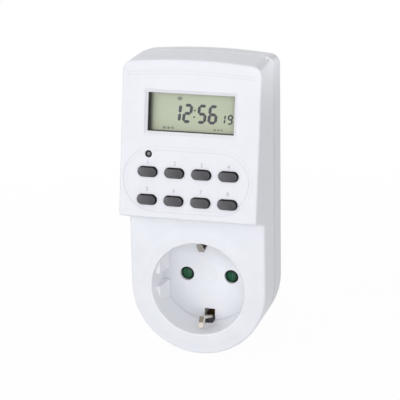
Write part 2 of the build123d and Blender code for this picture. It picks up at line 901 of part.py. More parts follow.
coil_x = relay_x - relay_width / 2 + relay_wall + coil_radius + running_gap
coil_top = relay_base + coil_length + yoke_thickness
with BuildPart() as relay_coil:
    with BuildSketch(power_plane(relay_base + yoke_thickness)):
        with Locations((coil_x, relay_z)):
            Circle(coil_radius)
            Circle(core_radius, mode=Mode.SUBTRACT)
    extrude(amount=coil_length - yoke_thickness)
relay_coil.part.label = "relay_coil"
export_step(relay_coil.part, "parts/relay_coil.step")

yoke_x = coil_x + coil_radius + running_gap + yoke_thickness / 2
with BuildPart() as relay_yoke:
    with BuildSketch(power_plane(relay_base)):
        with Locations(((coil_x - core_radius + yoke_x + yoke_thickness / 2) / 2, relay_z)):
            Rectangle(yoke_x + yoke_thickness / 2 - coil_x + core_radius, coil_radius)
    extrude(amount=yoke_thickness)
    with BuildSketch(power_plane(relay_base)):
        with Locations((coil_x, relay_z)):
            Circle(core_radius)
        with Locations((yoke_x, relay_z)):
            Rectangle(yoke_thickness, coil_radius)
    extrude(amount=coil_top - relay_base)
relay_yoke.part.label = "relay_yoke"
export_step(relay_yoke.part, "parts/relay_yoke.step")

# the armature rests open at its swing, hinged on the yoke's edge
armature_y = power_front_y - coil_top - running_gap
armature_tilt = radians(relay_swing)
with BuildPart() as relay_armature:
    with BuildSketch(Plane.XY.offset(relay_z)) as armature_side:
        with BuildLine():
            reach = yoke_x - coil_x + core_radius
            Polyline(
                (yoke_x, armature_y - yoke_thickness / 2),
                (
                    yoke_x - reach * cos(armature_tilt),
                    armature_y - yoke_thickness / 2 - reach * sin(armature_tilt),
                ),
            )
        trace(line_width=yoke_thickness)
    extrude(amount=coil_radius / 2, both=True)
relay_armature.part.label = "relay_armature"
export_step(relay_armature.part, "parts/relay_armature.step")

with BuildPart() as relay_contacts:
    for number in (1, 2):
        with BuildSketch(power_plane(relay_base)):
            with Locations((yoke_x + number * relay_contact_pitch, relay_z)):
                Rectangle(yoke_thickness / 2, coil_radius)
        extrude(amount=coil_length)
relay_contacts.part.label = "relay_contacts"
export_step(relay_contacts.part, "parts/relay_contacts.step")

with BuildPart() as film_capacitor:
    width, height, stand = film_cap_size
    with BuildSketch(power_plane()):
        with Locations(film_cap_place):
            Rectangle(width, height)
    extrude(amount=stand)
    fillet(film_capacitor.faces().sort_by(Axis.Y)[0].edges(), key_round)
film_capacitor.part.label = "film_capacitor"
export_step(film_capacitor.part, "parts/film_capacitor.step")

with BuildPart() as smoothing_capacitor:
    with BuildSketch(power_plane()):
        with Locations(can_place):
            Circle(can_radius)
    extrude(amount=can_length)
    fillet(smoothing_capacitor.edges().sort_by(Axis.Y)[0], key_round)
smoothing_capacitor.part.label = "smoothing_capacitor"
export_step(smoothing_capacitor.part, "parts/smoothing_capacitor.step")

with BuildPart() as varistor:
    x, z = varistor_place
    disc_plane = Plane(
        origin=(x, power_front_y - varistor_leg - varistor_radius, z - varistor_thickness / 2)
    )
    with BuildSketch(disc_plane):
        Circle(varistor_radius)
    extrude(amount=varistor_thickness)
    fillet(varistor.edges(), key_round)
    for side in (-1, 1):
        with BuildSketch(power_plane()):
            with Locations((x + side * varistor_radius / 2, z)):
                Circle(spring_wire)
        extrude(amount=varistor_leg + varistor_radius)
varistor.part.label = "varistor"
export_step(varistor.part, "parts/varistor.step")


def lying_cylinder(x, z, radius, length):
    # A small round part that lies on the power board along Z, centred here.
    with BuildPart() as lying:
        with BuildSketch(Plane.XY.offset(z - length / 2)) as end_view:
            with Locations((x, power_front_y - radius)):
                Circle(radius)
        extrude(end_view.sketch, amount=length)
    return lying.part


fuse = lying_cylinder(*fuse_place, fuse_radius, fuse_length)
fuse.label = "fuse_resistor"
export_step(fuse, "parts/fuse_resistor.step")

with BuildPart() as rectifier_diodes:
    x, z = diode_place
    for number in range(diode_count):
        diode_x = x + (number - (diode_count - 1) / 2) * diode_pitch
        add(lying_cylinder(diode_x, z, diode_radius, diode_length))
rectifier_diodes.part.label = "rectifier_diodes"
export_step(rectifier_diodes.part, "parts/rectifier_diodes.step")

# ---- control board and what it carries ------------------------------------------------------
control_middle = (control_bottom + control_top) / 2
with BuildPart() as control_board:
    with BuildSketch(behind_face(control_depth)):
        with Locations((0, control_middle)):
            Rectangle(2 * control_half_width, control_top - control_bottom)
        with Locations(*control_post_places):
            Circle((board_screw_diameter + screw_clearance) / 2, mode=Mode.SUBTRACT)
    extrude(amount=-board_thickness)
control_board.part.label = "control_board"
export_step(control_board.part, "parts/control_board.step")

with BuildPart() as control_chip:
    with BuildSketch(behind_face(control_back)):
        with Locations((chip_x, chip_up)):
            Rectangle(chip_size, chip_size)
    extrude(amount=-chip_thickness, taper=chip_taper)
control_chip.part.label = "control_chip"
export_step(control_chip.part, "parts/control_chip.step")

with BuildPart() as crystal:
    x, up = crystal_place
    end_plane = Plane(
        origin=behind_face(control_back + crystal_radius).from_local_coords(Vector(x, up, 0)),
        z_dir=face_plane.y_dir,
    )
    with BuildSketch(end_plane):
        Circle(crystal_radius)
    extrude(amount=crystal_length)
crystal.part.label = "crystal"
export_step(crystal.part, "parts/crystal.step")

with BuildPart() as backup_cell:
    with BuildSketch(behind_face(control_back + tab_thickness)):
        with Locations(cell_place):
            Circle(cell_radius)
    extrude(amount=-cell_thickness)
    fillet(backup_cell.edges(), key_round)
backup_cell.part.label = "backup_cell"
export_step(backup_cell.part, "parts/backup_cell.step")

with BuildPart() as cell_tabs:
    x, up = cell_place
    cell_back = control_back + tab_thickness + cell_thickness
    with BuildSketch(behind_face(control_back)):
        with Locations((x, up)):
            Rectangle(2 * cell_radius, tab_width)
    extrude(amount=-tab_thickness)
    with BuildSketch(behind_face(cell_back)):
        with Locations((x + cell_radius / 2 + tab_thickness, up)):
            Rectangle(cell_radius + 2 * tab_thickness, tab_width)
    extrude(amount=-tab_thickness)
    with BuildSketch(behind_face(control_back + tab_thickness)):
        with Locations((x + cell_radius + 1.5 * tab_thickness, up)):
            Rectangle(tab_thickness, tab_width)
    extrude(amount=-cell_thickness)
cell_tabs.part.label = "cell_tabs"
export_step(cell_tabs.part, "parts/cell_tabs.step")

ribbon_start = control_back + ribbon_thickness / 2
ribbon_cable = strip(
    [
        leaning_point(ribbon_up + ribbon_tab, ribbon_start),
        leaning_point(ribbon_up, ribbon_start),
        (power_front_y - ribbon_thickness / 2, ribbon_z),
        (power_front_y - ribbon_thickness / 2, ribbon_z + ribbon_tab),
    ],
    ribbon_x,
    ribbon_width,
    ribbon_thickness,
)
ribbon_cable.label = "ribbon_cable"
export_step(ribbon_cable, "parts/ribbon_cable.step")

# ---- display stack -----------------------------------------------------------------------------
lcd_width = display_width + 2 * lcd_margin_x
lcd_height = display_height + 2 * lcd_margin_up
holder_width = lcd_width + 2 * holder_wall
holder_height = lcd_height + 2 * holder_wall
with BuildPart() as display_window:
    with BuildSketch(behind_face(wall)):
        with Locations((0, display_up)):
            Rectangle(display_width + 2 * window_margin, display_height + 2 * window_margin)
    extrude(amount=-window_thickness)
display_window.part.label = "display_window"
export_step(display_window.part, "parts/display_window.step")

with BuildPart() as display_frame:
    with BuildSketch(behind_face(wall + window_thickness)):
        with Locations((0, display_up)):
            Rectangle(holder_width, holder_height)
            Rectangle(display_width, display_height, mode=Mode.SUBTRACT)
    extrude(amount=-(control_depth - wall - window_thickness))
    with BuildSketch(behind_face(lcd_depth)):
        with Locations((0, display_up)):
            Rectangle(lcd_width, lcd_height)
    extrude(amount=-(control_depth - lcd_depth), mode=Mode.SUBTRACT)
display_frame.part.label = "display_frame"
export_step(display_frame.part, "parts/display_frame.step")

with BuildPart() as lcd_glass:
    with BuildSketch(behind_face(lcd_depth)):
        with Locations((0, display_up)):
            Rectangle(lcd_width, lcd_height)
    extrude(amount=-lcd_thickness)
lcd_glass.part.label = "lcd_glass"
export_step(lcd_glass.part, "parts/lcd_glass.step")

with BuildPart() as zebra_strip:
    with BuildSketch(behind_face(lcd_depth + lcd_thickness)):
        with Locations((0, display_up - lcd_height / 2 + zebra_width / 2)):
            Rectangle(display_width, zebra_width)
    extrude(amount=-(control_depth - lcd_depth - lcd_thickness))
zebra_strip.part.label = "zebra_strip"
export_step(zebra_strip.part, "parts/zebra_strip.step")

# ---- keys, reset button and the rubber mat under them -----------------------------------------
for number, place in enumerate(key_places, start=1):
    with BuildPart() as key:
        with BuildSketch(behind_face(key_foot)):
            with Locations(place):
                SlotOverall(key_length, key_height)
        extrude(amount=key_foot + key_stand)
        fillet(key.faces().sort_by(out_axis)[-1].edges(), key_round)
        with BuildSketch(behind_face(flange_back)):
            with Locations(place):
                SlotOverall(key_length + 2 * flange_margin, key_height + 2 * flange_margin)
        extrude(amount=flange_thickness)
    key.part.label = f"key_{number}"
    export_step(key.part, f"parts/key_{number}.step")

with BuildPart() as reset_button:
    reset_place = (reset_x, reset_up)
    with BuildSketch(behind_face(key_foot)):
        with Locations(reset_place):
            Circle(reset_diameter / 2 - key_gap)
    extrude(amount=key_foot - reset_sunk)
    with BuildSketch(behind_face(flange_back)):
        with Locations(reset_place):
            Circle(reset_diameter / 2 + flange_margin)
    extrude(amount=flange_thickness)
reset_button.part.label = "reset_button"
export_step(reset_button.part, "parts/reset_button.step")

with BuildPart() as keypad_mat:
    with BuildSketch(behind_face(control_depth)):
        with Locations((0, (mat_bottom + mat_top) / 2)):
            Rectangle(2 * mat_half_width, mat_top - mat_bottom)
    extrude(amount=mat_thickness)
    for place in (*key_places, (reset_x, reset_up)):
        with BuildSketch(behind_face(control_depth - mat_thickness)):
            with Locations(place):
                Circle(dome_radius)
        with BuildSketch(behind_face(control_depth - mat_thickness - dome_height)):
            with Locations(place):
                Circle(dome_top_radius)
        loft()
keypad_mat.part.label = "keypad_mat"
export_step(keypad_mat.part, "parts/keypad_mat.step")

# ---- screws ----------------------------------------------------------------------------------------
with BuildPart() as case_screws:
    for x, z in screw_places:
        with BuildSketch(facing(back_y - screw_head_sunk)):
            with Locations((x, z)):
                Circle(screw_head_diameter / 2)
        extrude(amount=-screw_head_height)
        with BuildSketch(facing(back_y - screw_head_sunk)):
            with Locations((x, z)):
                Circle(screw_diameter / 2)
        extrude(amount=screw_length)
        with BuildSketch(facing(back_y - screw_head_sunk + screw_head_height)):
            with Locations((x, z)):
                Rectangle(screw_head_diameter / 2, driver_slot_width)
                Rectangle(driver_slot_width, screw_head_diameter / 2)
        extrude(amount=driver_slot_depth, mode=Mode.SUBTRACT)
case_screws.part.label = "case_screws"
export_step(case_screws.part, "parts/case_screws.step")


def board_screws(plane, places):
    # Round-headed screws through a board, their heads on this plane.
    with BuildPart() as screws:
        with BuildSketch(plane) as heads:
            with Locations(*places):
                Circle(board_screw_head / 2)
        extrude(heads.sketch, amount=board_screw_head_height)
        with BuildSketch(plane) as shanks:
            with Locations(*places):
                Circle(board_screw_diameter / 2)
        extrude(shanks.sketch, amount=-board_screw_length)
    return screws.part


power_screws = board_screws(power_plane(), power_post_places)
power_screws.label = "power_board_screws"
export_step(power_screws, "parts/power_board_screws.step")

# seen from behind, the control board's plane has its X mirrored
control_screw_plane = Plane(
    origin=behind_face(control_back).origin, x_dir=(-1, 0, 0), z_dir=-face_plane.z_dir
)
control_screws = board_screws(control_screw_plane, control_post_places)
control_screws.label = "control_board_screws"
export_step(control_screws, "parts/control_board_screws.step")
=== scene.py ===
import math

import bpy
from mathutils import Matrix, Vector


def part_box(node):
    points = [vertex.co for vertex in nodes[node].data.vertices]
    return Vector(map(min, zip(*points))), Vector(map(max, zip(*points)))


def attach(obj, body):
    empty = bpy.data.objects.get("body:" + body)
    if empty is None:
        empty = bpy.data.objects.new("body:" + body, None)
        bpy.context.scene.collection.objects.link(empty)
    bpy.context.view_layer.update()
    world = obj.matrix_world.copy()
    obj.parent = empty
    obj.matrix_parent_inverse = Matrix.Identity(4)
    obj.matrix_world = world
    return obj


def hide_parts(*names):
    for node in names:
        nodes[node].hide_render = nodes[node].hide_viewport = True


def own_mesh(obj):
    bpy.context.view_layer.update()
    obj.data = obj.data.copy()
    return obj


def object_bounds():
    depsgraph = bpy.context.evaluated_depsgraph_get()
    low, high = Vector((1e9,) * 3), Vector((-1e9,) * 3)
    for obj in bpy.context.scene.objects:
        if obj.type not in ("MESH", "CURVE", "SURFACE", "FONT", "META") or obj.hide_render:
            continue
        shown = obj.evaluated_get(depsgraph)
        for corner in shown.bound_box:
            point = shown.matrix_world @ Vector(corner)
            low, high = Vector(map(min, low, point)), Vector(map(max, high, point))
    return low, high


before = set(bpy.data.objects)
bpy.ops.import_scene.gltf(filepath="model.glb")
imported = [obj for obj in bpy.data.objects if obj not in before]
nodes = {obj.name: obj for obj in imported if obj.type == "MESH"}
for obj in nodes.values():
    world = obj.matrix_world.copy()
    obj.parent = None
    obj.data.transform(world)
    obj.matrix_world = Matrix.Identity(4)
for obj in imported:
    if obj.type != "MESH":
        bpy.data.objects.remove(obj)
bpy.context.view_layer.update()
mm = 0.001  # sizes of the object are written in mm, and the stage round it in metres

# The leaning face that carries the display and the keys: a point on its lower
# edge, and how far it leans back from upright, in degrees.
leaningFace = {"origin": (0.0, -59.4, 34.2), "lean": 10.5}


def faceMatrix(depth=0.0):
    # X across, Y up the face, Z out at the user, this many mm behind the face
    lean = math.radians(leaningFace["lean"])
    out = Vector((0, -math.cos(lean), math.sin(lean)))
    up = Vector((0, math.sin(lean), math.cos(lean)))
    origin = (Vector(leaningFace["origin"]) - out * depth) * mm
    turned = Matrix((Vector((1, 0, 0)), up, out)).transposed().to_4x4()
    return Matrix.Translation(origin) @ turned


# Node trees


class Wire:
    # One socket of a node tree. Sums on it add Math nodes.
    def __init__(self, tree, socket=None):
        self.tree = tree
        self.socket = socket

    def node(self, kind, settings=None, sockets=None, out=0):
        made = self.tree.nodes.new(kind)
        for name, value in (settings or {}).items():
            if name == "items":
                while len(made.index_switch_items) < value:
                    made.index_switch_items.new()
            else:
                setattr(made, name, value)
        for name, value in (sockets or {}).items():
            if isinstance(value, Wire):
                self.tree.links.new(value.socket, made.inputs[name])
            else:
                made.inputs[name].default_value = value
        return Wire(self.tree, made.outputs[out] if made.outputs else None)

    def beside(self, out):
        # another output of the same node
        return Wire(self.tree, self.socket.node.outputs[out])

    def maths(self, operation, *values):
        return self.node("ShaderNodeMath", {"operation": operation}, dict(enumerate(values)))

    def __add__(self, other):
        return self.maths("ADD", self, other)

    def __radd__(self, other):
        return self.maths("ADD", other, self)

    def __sub__(self, other):
        return self.maths("SUBTRACT", self, other)

    def __rsub__(self, other):
        return self.maths("SUBTRACT", other, self)

    def __mul__(self, other):
        return self.maths("MULTIPLY", self, other)

    def __rmul__(self, other):
        return self.maths("MULTIPLY", other, self)

    def __truediv__(self, other):
        return self.maths("DIVIDE", self, other)

    def __rtruediv__(self, other):
        return self.maths("DIVIDE", other, self)


# how strongly the shared patterns show
patterns = {
    "blotch": (0.3, 0.7),  # where soft blotches begin and end in their noise
    "clouded": 0.08,  # how much a plastic's gloss varies over them
    "pit": 0.1,  # depth of the grain as a share of its width
    "rolled": 0.25,  # how much rolling lines change a metal's gloss
    "tarnish": (0.35, 0.75),  # where a metal's tarnish begins and ends in its noise
    "plasticIor": 1.49,
}


def objectPlace(start):
    return start.node("ShaderNodeTexCoord", out="Object")


def noise(start, place, size, detail=2.0, roughness=0.5):
    # soft noise whose blobs are about this many mm across
    sockets = {"Vector": place, "Scale": 1 / (size * mm), "Detail": detail, "Roughness": roughness}
    return start.node("ShaderNodeTexNoise", {}, sockets)


def grainNoise(start, place, look):
    return noise(start, place, look["grain"], 3.0, 0.6)


def streaks(start, place, look):
    # rolling lines come from stretched noise
    sockets = {"Vector": place, "Scale": look["lines"]}
    drawn = start.node("ShaderNodeMapping", {}, sockets)
    return noise(start, drawn, look["grain"], 4.0)


def mixColours(start, factor, first, second):
    # a Mix node has a factor, and its colours are numbers 6 and 7, and 2 going out
    sockets = {0: factor, 6: first, 7: second}
    return start.node("ShaderNodeMix", {"data_type": "RGBA"}, sockets, out=2)


def smoothMask(start, value, low, high):
    # 0 below low, 1 above high
    sockets = {"Value": value, "From Min": low, "From Max": high}
    settings = {"interpolation_type": "SMOOTHSTEP"}
    return start.node("ShaderNodeMapRange", settings, sockets)


def band(start, value, middle, half, soft):
    # 1 within half of the middle, fading over soft
    away = start.maths("ABSOLUTE", value - middle)
    return 1 - smoothMask(start, away, half, half + soft)


def axes(start, place):
    parts = start.node("ShaderNodeSeparateXYZ", {}, {"Vector": place})
    return [parts.beside(axis) for axis in "XYZ"]


def axesInMm(start, place):
    # across to the right, back into the wall, and up
    return [axis / mm for axis in axes(start, place)]


def faceAxes(start, place):
    # across, up the leaning face and out of it, in mm
    across, back, up = axes(start, place)
    lean = math.radians(leaningFace["lean"])
    back = back / mm - leaningFace["origin"][1]
    up = up / mm - leaningFace["origin"][2]
    along = up * math.cos(lean) + back * math.sin(lean)
    return across / mm, along, up * math.sin(lean) - back * math.cos(lean)


def reachOf(start, first, second):
    # distance from where both axes are 0
    return start.maths("SQRT", first * first + second * second)


def slotReach(start, across, up, straight):
    # distance from the middle line of a slot with round ends
    beyond = start.maths("ABSOLUTE", across) - straight
    return reachOf(start, start.maths("MAXIMUM", beyond, 0.0), up)


def bump(start, height, strength, distance, under=None):
    sockets = {"Height": height, "Strength": strength, "Distance": distance * mm}
    if under:
        sockets["Normal"] = under
    return start.node("ShaderNodeBump", {}, sockets)


def grainBump(start, grain, look, under=None):
    return bump(start, grain, look["relief"], look["grain"] * patterns["pit"], under)


def blotched(start, pattern, look):
    # the two tones of a plastic, in soft blotches
    mask = smoothMask(start, pattern, *patterns["blotch"])
    return mixColours(start, mask, look["shade"], look["colour"])


def grainGloss(look, grain):
    return look["roughness"] + (grain - 0.5) * look["sparkle"]


def cloudyGloss(look, cloud, grain):
    return grainGloss(look, grain) + (cloud - 0.5) * patterns["clouded"]


def surface(start, **sockets):
    # the named sockets of a Principled shader, an underscore for each space
    named = {name.replace("_", " "): value for name, value in sockets.items()}
    return start.node("ShaderNodeBsdfPrincipled", {}, named)


def makeMaterial(name, recipe, look):
    material = bpy.data.materials.new(name)
    material.use_nodes = True
    tree = material.node_tree
    tree.nodes.clear()
    start = Wire(tree)
    start.node("ShaderNodeOutputMaterial", {}, {"Surface": recipe(start, look)})
    return material


# Finishes


def mouldedPlastic(start, look):
    # spark-eroded mould texture, with a faint cloudiness in colour and gloss
    place = objectPlace(start)
    grain = grainNoise(start, place, look)
    cloud = noise(start, place, look["cloud"])
    return surface(
        start,
        Base_Color=blotched(start, cloud, look),
        Roughness=cloudyGloss(look, cloud, grain),
        Normal=grainBump(start, grain, look),
        IOR=patterns["plasticIor"],
    )


def dustLines(start, look, across, along):
    # painted shade along both edges of the two grooves on the leaning face
    pad, arch, line = look["padGroove"], look["archGroove"], look["line"]
    straight = (pad["length"] - pad["height"]) / 2
    aside = slotReach(start, across - pad["middle"][0], along - pad["middle"][1], straight)
    fromPad = start.maths("ABSOLUTE", aside - (pad["height"] - pad["width"]) / 2)
    padLine = band(start, fromPad, pad["width"] / 2, line, line)
    drop = along - (arch["up"] - arch["radius"])
    fromArch = reachOf(start, across, drop) - (arch["radius"] - arch["width"] / 2)
    archLine = band(start, start.maths("ABSOLUTE", fromArch), arch["width"] / 2, line, line)
    archLine = archLine * band(start, across, 0.0, arch["reach"], arch["soft"])
    return start.maths("MAXIMUM", padLine, archLine)


def openingWall(start, opening, across, along, out):
    # the cut edge of the cover round the display, where it is painted black as shade
    wall = band(start, across, opening["across"], opening["length"] / 2, opening["soft"])
    wall = wall * band(start, along, opening["up"], opening["height"] / 2, opening["soft"])
    return wall * band(start, out, *opening["depth"])


def caseShell(start, look):
    # the case: a recess painted whiter as painted light, painted shade in its corner
    # and along the fine grooves on the leaning face, the edge round the display painted
    # black as shade, and a step at the parting line with a painted highlight on top
    place = objectPlace(start)
    across, back, up = axesInMm(start, place)
    grain = grainNoise(start, place, look)
    cloud = noise(start, place, look["cloud"])
    colour = blotched(start, cloud, look)
    recess, seam, opening = look["recess"], look["seam"], look["opening"]
    # the recess is painted whiter, as painted light
    inside = 1 - smoothMask(start, reachOf(start, across, up), *recess["wall"])
    inside = inside * (1 - smoothMask(start, back, *recess["floor"]))
    colour = mixColours(start, inside, colour, look["bright"])
    # painted shade in the corner of the recess
    corner = inside * smoothMask(start, back, *recess["corner"]) * recess["shade"]
    colour = mixColours(start, corner, colour, look["dust"])
    sideways, along, out = faceAxes(start, place)
    # painted shade along both edges of the grooves
    lines = dustLines(start, look, sideways, along) * band(start, out, 0.0, *look["skin"])
    colour = mixColours(start, lines * look["dirt"], colour, look["dust"])
    # a painted highlight along the step on top
    glint = band(start, back, *seam["glint"]) * smoothMask(start, up, *seam["top"])
    colour = mixColours(start, glint, colour, look["bright"])
    # the wall of the display opening is painted black as shade
    wall = openingWall(start, opening, sideways, along, out)
    step = smoothMask(start, back, *seam["slope"]) * (1 - inside)
    return surface(
        start,
        Base_Color=mixColours(start, wall, colour, opening["ink"]),
        Roughness=cloudyGloss(look, cloud, grain),
        Normal=grainBump(start, grain, look, bump(start, step, 1.0, seam["step"])),
        IOR=patterns["plasticIor"],
    )


def socketPlastic(start, look):
    # the floor of the recess: painted shade towards its edge, mostly on the left, and a
    # plain moulded ring, raised and with painted shade along it
    place = objectPlace(start)
    across, back, up = axesInMm(start, place)
    grain = grainNoise(start, place, look)
    cloud = noise(start, place, look["cloud"])
    edge, ring = look["edge"], look["ring"]
    radius = reachOf(start, across, up)
    # painted shade towards the floor's edge, kept off the lit right side
    lit = smoothMask(start, across + up * edge["tilt"], *edge["lit"])
    shaded = smoothMask(start, radius, *edge["radius"]) * (1 - lit) * edge["shade"]
    raised = band(start, radius, *ring["radius"])
    dirt = shaded + raised * ring["shade"]
    return surface(
        start,
        Base_Color=mixColours(start, dirt, blotched(start, cloud, look), look["dust"]),
        Roughness=grainGloss(look, grain),
        Normal=grainBump(start, grain, look, bump(start, raised, ring["bump"], ring["height"])),
        IOR=patterns["plasticIor"],
    )


def shutterPlastic(start, look):
    # the two flaps behind the holes, painted lighter on their left as painted light, and darker
    # round the edge as painted shade
    place = objectPlace(start)
    across, back, up = axesInMm(start, place)
    grain = grainNoise(start, place, look)
    turned = across - start.maths("SIGN", across) * look["hole"] - look["seen"][0]
    radius = reachOf(start, turned, up - look["seen"][1])
    # painted light on the left of each flap
    lit = 1 - smoothMask(start, turned, *look["lit"])
    colour = mixColours(start, lit, blotched(start, grain, look), look["light"])
    # painted shade round the rim
    rim = smoothMask(start, radius, *look["rim"])
    return surface(
        start,
        Base_Color=mixColours(start, rim, colour, look["dark"]),
        Roughness=grainGloss(look, grain),
        Normal=grainBump(start, grain, look),
    )


def keyPlastic(start, look):
    # dark moulding: painted near black on its sides as shade, and paler low on its top as painted
    # light
    place = objectPlace(start)
    across, along, out = faceAxes(start, place)
    grain = grainNoise(start, place, look)
    cloud = noise(start, place, look["cloud"])
    colour = blotched(start, cloud, look)
    x, y = across - look["middle"][0], along - look["middle"][1]
    if "ring" in look:
        # a small round button, painted black round its edge as shade
        top = 1 - smoothMask(start, reachOf(start, x, y), *look["ring"])
    else:
        # each key by its own middle, half a pitch from the middle of them all: painted
        # paler low on the left as painted light, and black along its upper and right edges as
        # painted shade
        pitch = look["pitch"]
        x = start.maths("WRAP", x, pitch[0], 0.0) - pitch[0] / 2
        y = start.maths("WRAP", y, pitch[1], 0.0) - pitch[1] / 2
        worn = 1 - smoothMask(start, x + y, *look["worn"])
        colour = mixColours(start, worn, colour, look["pale"])
        x, y = x + look["offset"][0], y + look["offset"][1]
        inner = 1 - smoothMask(start, slotReach(start, x, y, look["straight"]), *look["edge"])
        top = smoothMask(start, out, *look["top"]) * inner
    return surface(
        start,
        Base_Color=mixColours(start, top, look["side"], colour),
        # metallic sides with a near-black colour keep the painted shade black
        Metallic=1 - top,
        Roughness=cloudyGloss(look, cloud, grain),
        Normal=grainBump(start, grain, look),
    )


def rolledMetal(start, look, dirt, dulled):
    # rolling lines along one axis; tarnish and painted shade darken it, and dull it by this much
    lines = streaks(start, objectPlace(start), look)
    return surface(
        start,
        Base_Color=mixColours(start, dirt, look["colour"], look["shade"]),
        Metallic=1.0,
        Roughness=look["roughness"] + (lines - 0.5) * patterns["rolled"] + dirt * dulled,
        Normal=grainBump(start, lines, look),
    )


def stampedMetal(start, look):
    # a little tarnish in soft patches
    cloud = noise(start, objectPlace(start), look["cloud"], 3.0)
    return rolledMetal(start, look, smoothMask(start, cloud, *patterns["tarnish"]), 0.1)


def earthStrip(start, look):
    # nickel with patches of tarnish; painted shade where the lower strip bends, on the
    # deeper parts of both strips, and over the whole upper strip
    place = objectPlace(start)
    across, back, up = axesInMm(start, place)
    stain = smoothMask(start, noise(start, place, look["cloud"], 3.0), *look["stain"])
    lower = start.maths("LESS_THAN", up, 0.0)
    # painted shade where the lower strip bends
    bend = band(start, back, *look["bend"]) * (1 - smoothMask(start, across, *look["bendEnd"]))
    dirt = bend * lower * look["bent"]
    # painted shade on the deeper parts and on the upper strip; the stain is real tarnish
    for mask in (
        smoothMask(start, back, *look["root"]) * lower,
        smoothMask(start, back, *look["shelf"]) * (1 - lower),
        (1 - lower) * look["dull"],
        stain * look["stained"],
    ):
        dirt = start.maths("MAXIMUM", dirt, mask)
    return rolledMetal(start, look, dirt, 0.15)


def clearWindow(start, look):
    # almost nothing straight on, and a mirror at a low angle; only its front
    # shines, because rays go through it unbent
    haze = noise(start, objectPlace(start), look["cloud"], 3.0)
    shine = start.node("ShaderNodeFresnel", {}, {"IOR": look["ior"]})
    shine = shine * (1 - start.node("ShaderNodeNewGeometry", out="Backfacing"))
    return surface(
        start,
        Base_Color=look["colour"],
        Metallic=1.0,
        Roughness=look["roughness"] + haze * 0.03,
        Alpha=shine + haze * look["haze"],
    )


def displayGlass(start, look):
    # olive reflector behind the glass: faint grain, and a cooler patch
    place = objectPlace(start)
    across, back, up = axesInMm(start, place)
    grain = noise(start, place, look["grain"])
    cloud = noise(start, place, look["cloud"], 1.0)
    cool = smoothMask(start, cloud, *patterns["blotch"])
    colour = mixColours(start, cool, look["colour"], look["cool"])
    speckle = smoothMask(start, grain, *look["speckle"]) * look["speckled"]
    colour = mixColours(start, speckle, colour, look["shade"])
    # a painted shadow of the frame darkens the left and the lower edge
    left = 1 - smoothMask(start, across, *look["left"])
    lower = 1 - smoothMask(start, up, *look["bottom"])
    frameShadow = start.maths("MAXIMUM", left, lower)
    return surface(
        start,
        Base_Color=mixColours(start, frameShadow, colour, look["border"]),
        Roughness=look["roughness"] + (grain - 0.5) * 0.1,
        Coat_Weight=look["coat"],
        Coat_Roughness=look["coatRoughness"],
    )


def printedInk(start, look):
    # thin ink, a little broken up where the grain shows through
    grain = noise(start, objectPlace(start), look["grain"])
    broken = smoothMask(start, grain, *look["broken"])
    return surface(
        start,
        Base_Color=mixColours(start, broken, look["colour"], look["worn"]),
        Roughness=grainGloss(look, grain),
    )


def circuitBoard(start, look):
    # solder mask over copper tracks, with tinned pads where they end
    place = objectPlace(start)
    cells = start.node(
        "ShaderNodeTexVoronoi",
        {"distance": "CHEBYCHEV", "feature": "F1"},
        {"Vector": place, "Scale": 1 / (look["pitch"] * mm), "Randomness": look["irregular"]},
        out="Distance",
    )
    track = smoothMask(start, cells, *look["trackEdge"])
    pad = 1 - smoothMask(start, cells, *look["padEdge"])
    weave = noise(start, place, look["grain"])
    woven = smoothMask(start, weave, *look["weave"]) * look["woven"]
    colour = mixColours(start, track, look["colour"], look["track"])
    colour = mixColours(start, woven, colour, look["shade"])
    return surface(
        start,
        Base_Color=mixColours(start, pad, colour, look["tin"]),
        Metallic=pad,
        Roughness=look["roughness"] + weave * 0.1 - pad * 0.05,
        Normal=bump(start, track + pad, look["relief"], look["copper"]),
    )


def woundWire(start, look):
    # turns of enamelled wire round the axis that runs front to back, with painted shade in the
    # grooves between them
    back = axesInMm(start, objectPlace(start))[1]
    turn = start.maths("PINGPONG", back / look["pitch"], 0.5)
    raised = smoothMask(start, turn, *look["groove"])
    return surface(
        start,
        Base_Color=mixColours(start, raised, look["shade"], look["colour"]),
        Metallic=look["metal"],
        Roughness=look["roughness"] + (1 - raised) * 0.2,
        Normal=bump(start, raised, look["relief"], look["depth"]),
    )


def bandedBody(start, look):
    # a small part that lies along Z, with rings painted round it at these heights
    place = objectPlace(start)
    up = axesInMm(start, place)[2]
    grain = noise(start, place, look["grain"])
    mottle = smoothMask(start, grain, *patterns["blotch"]) * look["mottled"]
    colour = mixColours(start, mottle, look["colour"], look["shade"])
    for height, paint in look["rings"]:
        painted = band(start, up, height, *look["ring"])
        colour = mixColours(start, painted, colour, paint)
    return surface(start, Base_Color=colour, Roughness=look["roughness"] + grain * 0.1)


def sleevedCan(start, look):
    # a dark sleeve round the can, and bare metal on its end
    place = objectPlace(start)
    across, back, up = axesInMm(start, place)
    grain = noise(start, place, look["grain"], 3.0)
    bare = 1 - smoothMask(start, back, *look["end"])
    stripe = smoothMask(start, across, *look["stripe"])
    sleeve = mixColours(start, stripe, look["sleeve"], look["mark"])
    return surface(
        start,
        Base_Color=mixColours(start, bare, sleeve, look["colour"]),
        Metallic=bare,
        Roughness=look["roughness"] + grain * 0.12 - bare * 0.08,
        Normal=bump(start, grain, look["relief"], look["depth"]),
    )


def flatRibbon(start, look):
    # parallel strands side by side across the cable, with painted shade in the grooves between
    # them
    across = axesInMm(start, objectPlace(start))[0]
    strand = start.maths("PINGPONG", across / look["pitch"], 0.5)
    ridge = smoothMask(start, strand, *look["groove"])
    colour = mixColours(start, ridge, look["shade"], look["colour"])
    first = smoothMask(start, 0 - across, *look["first"])
    return surface(
        start,
        Base_Color=mixColours(start, first, colour, look["mark"]),
        Roughness=look["roughness"] + (1 - ridge) * 0.15,
        Normal=bump(start, ridge, look["relief"], look["depth"]),
    )


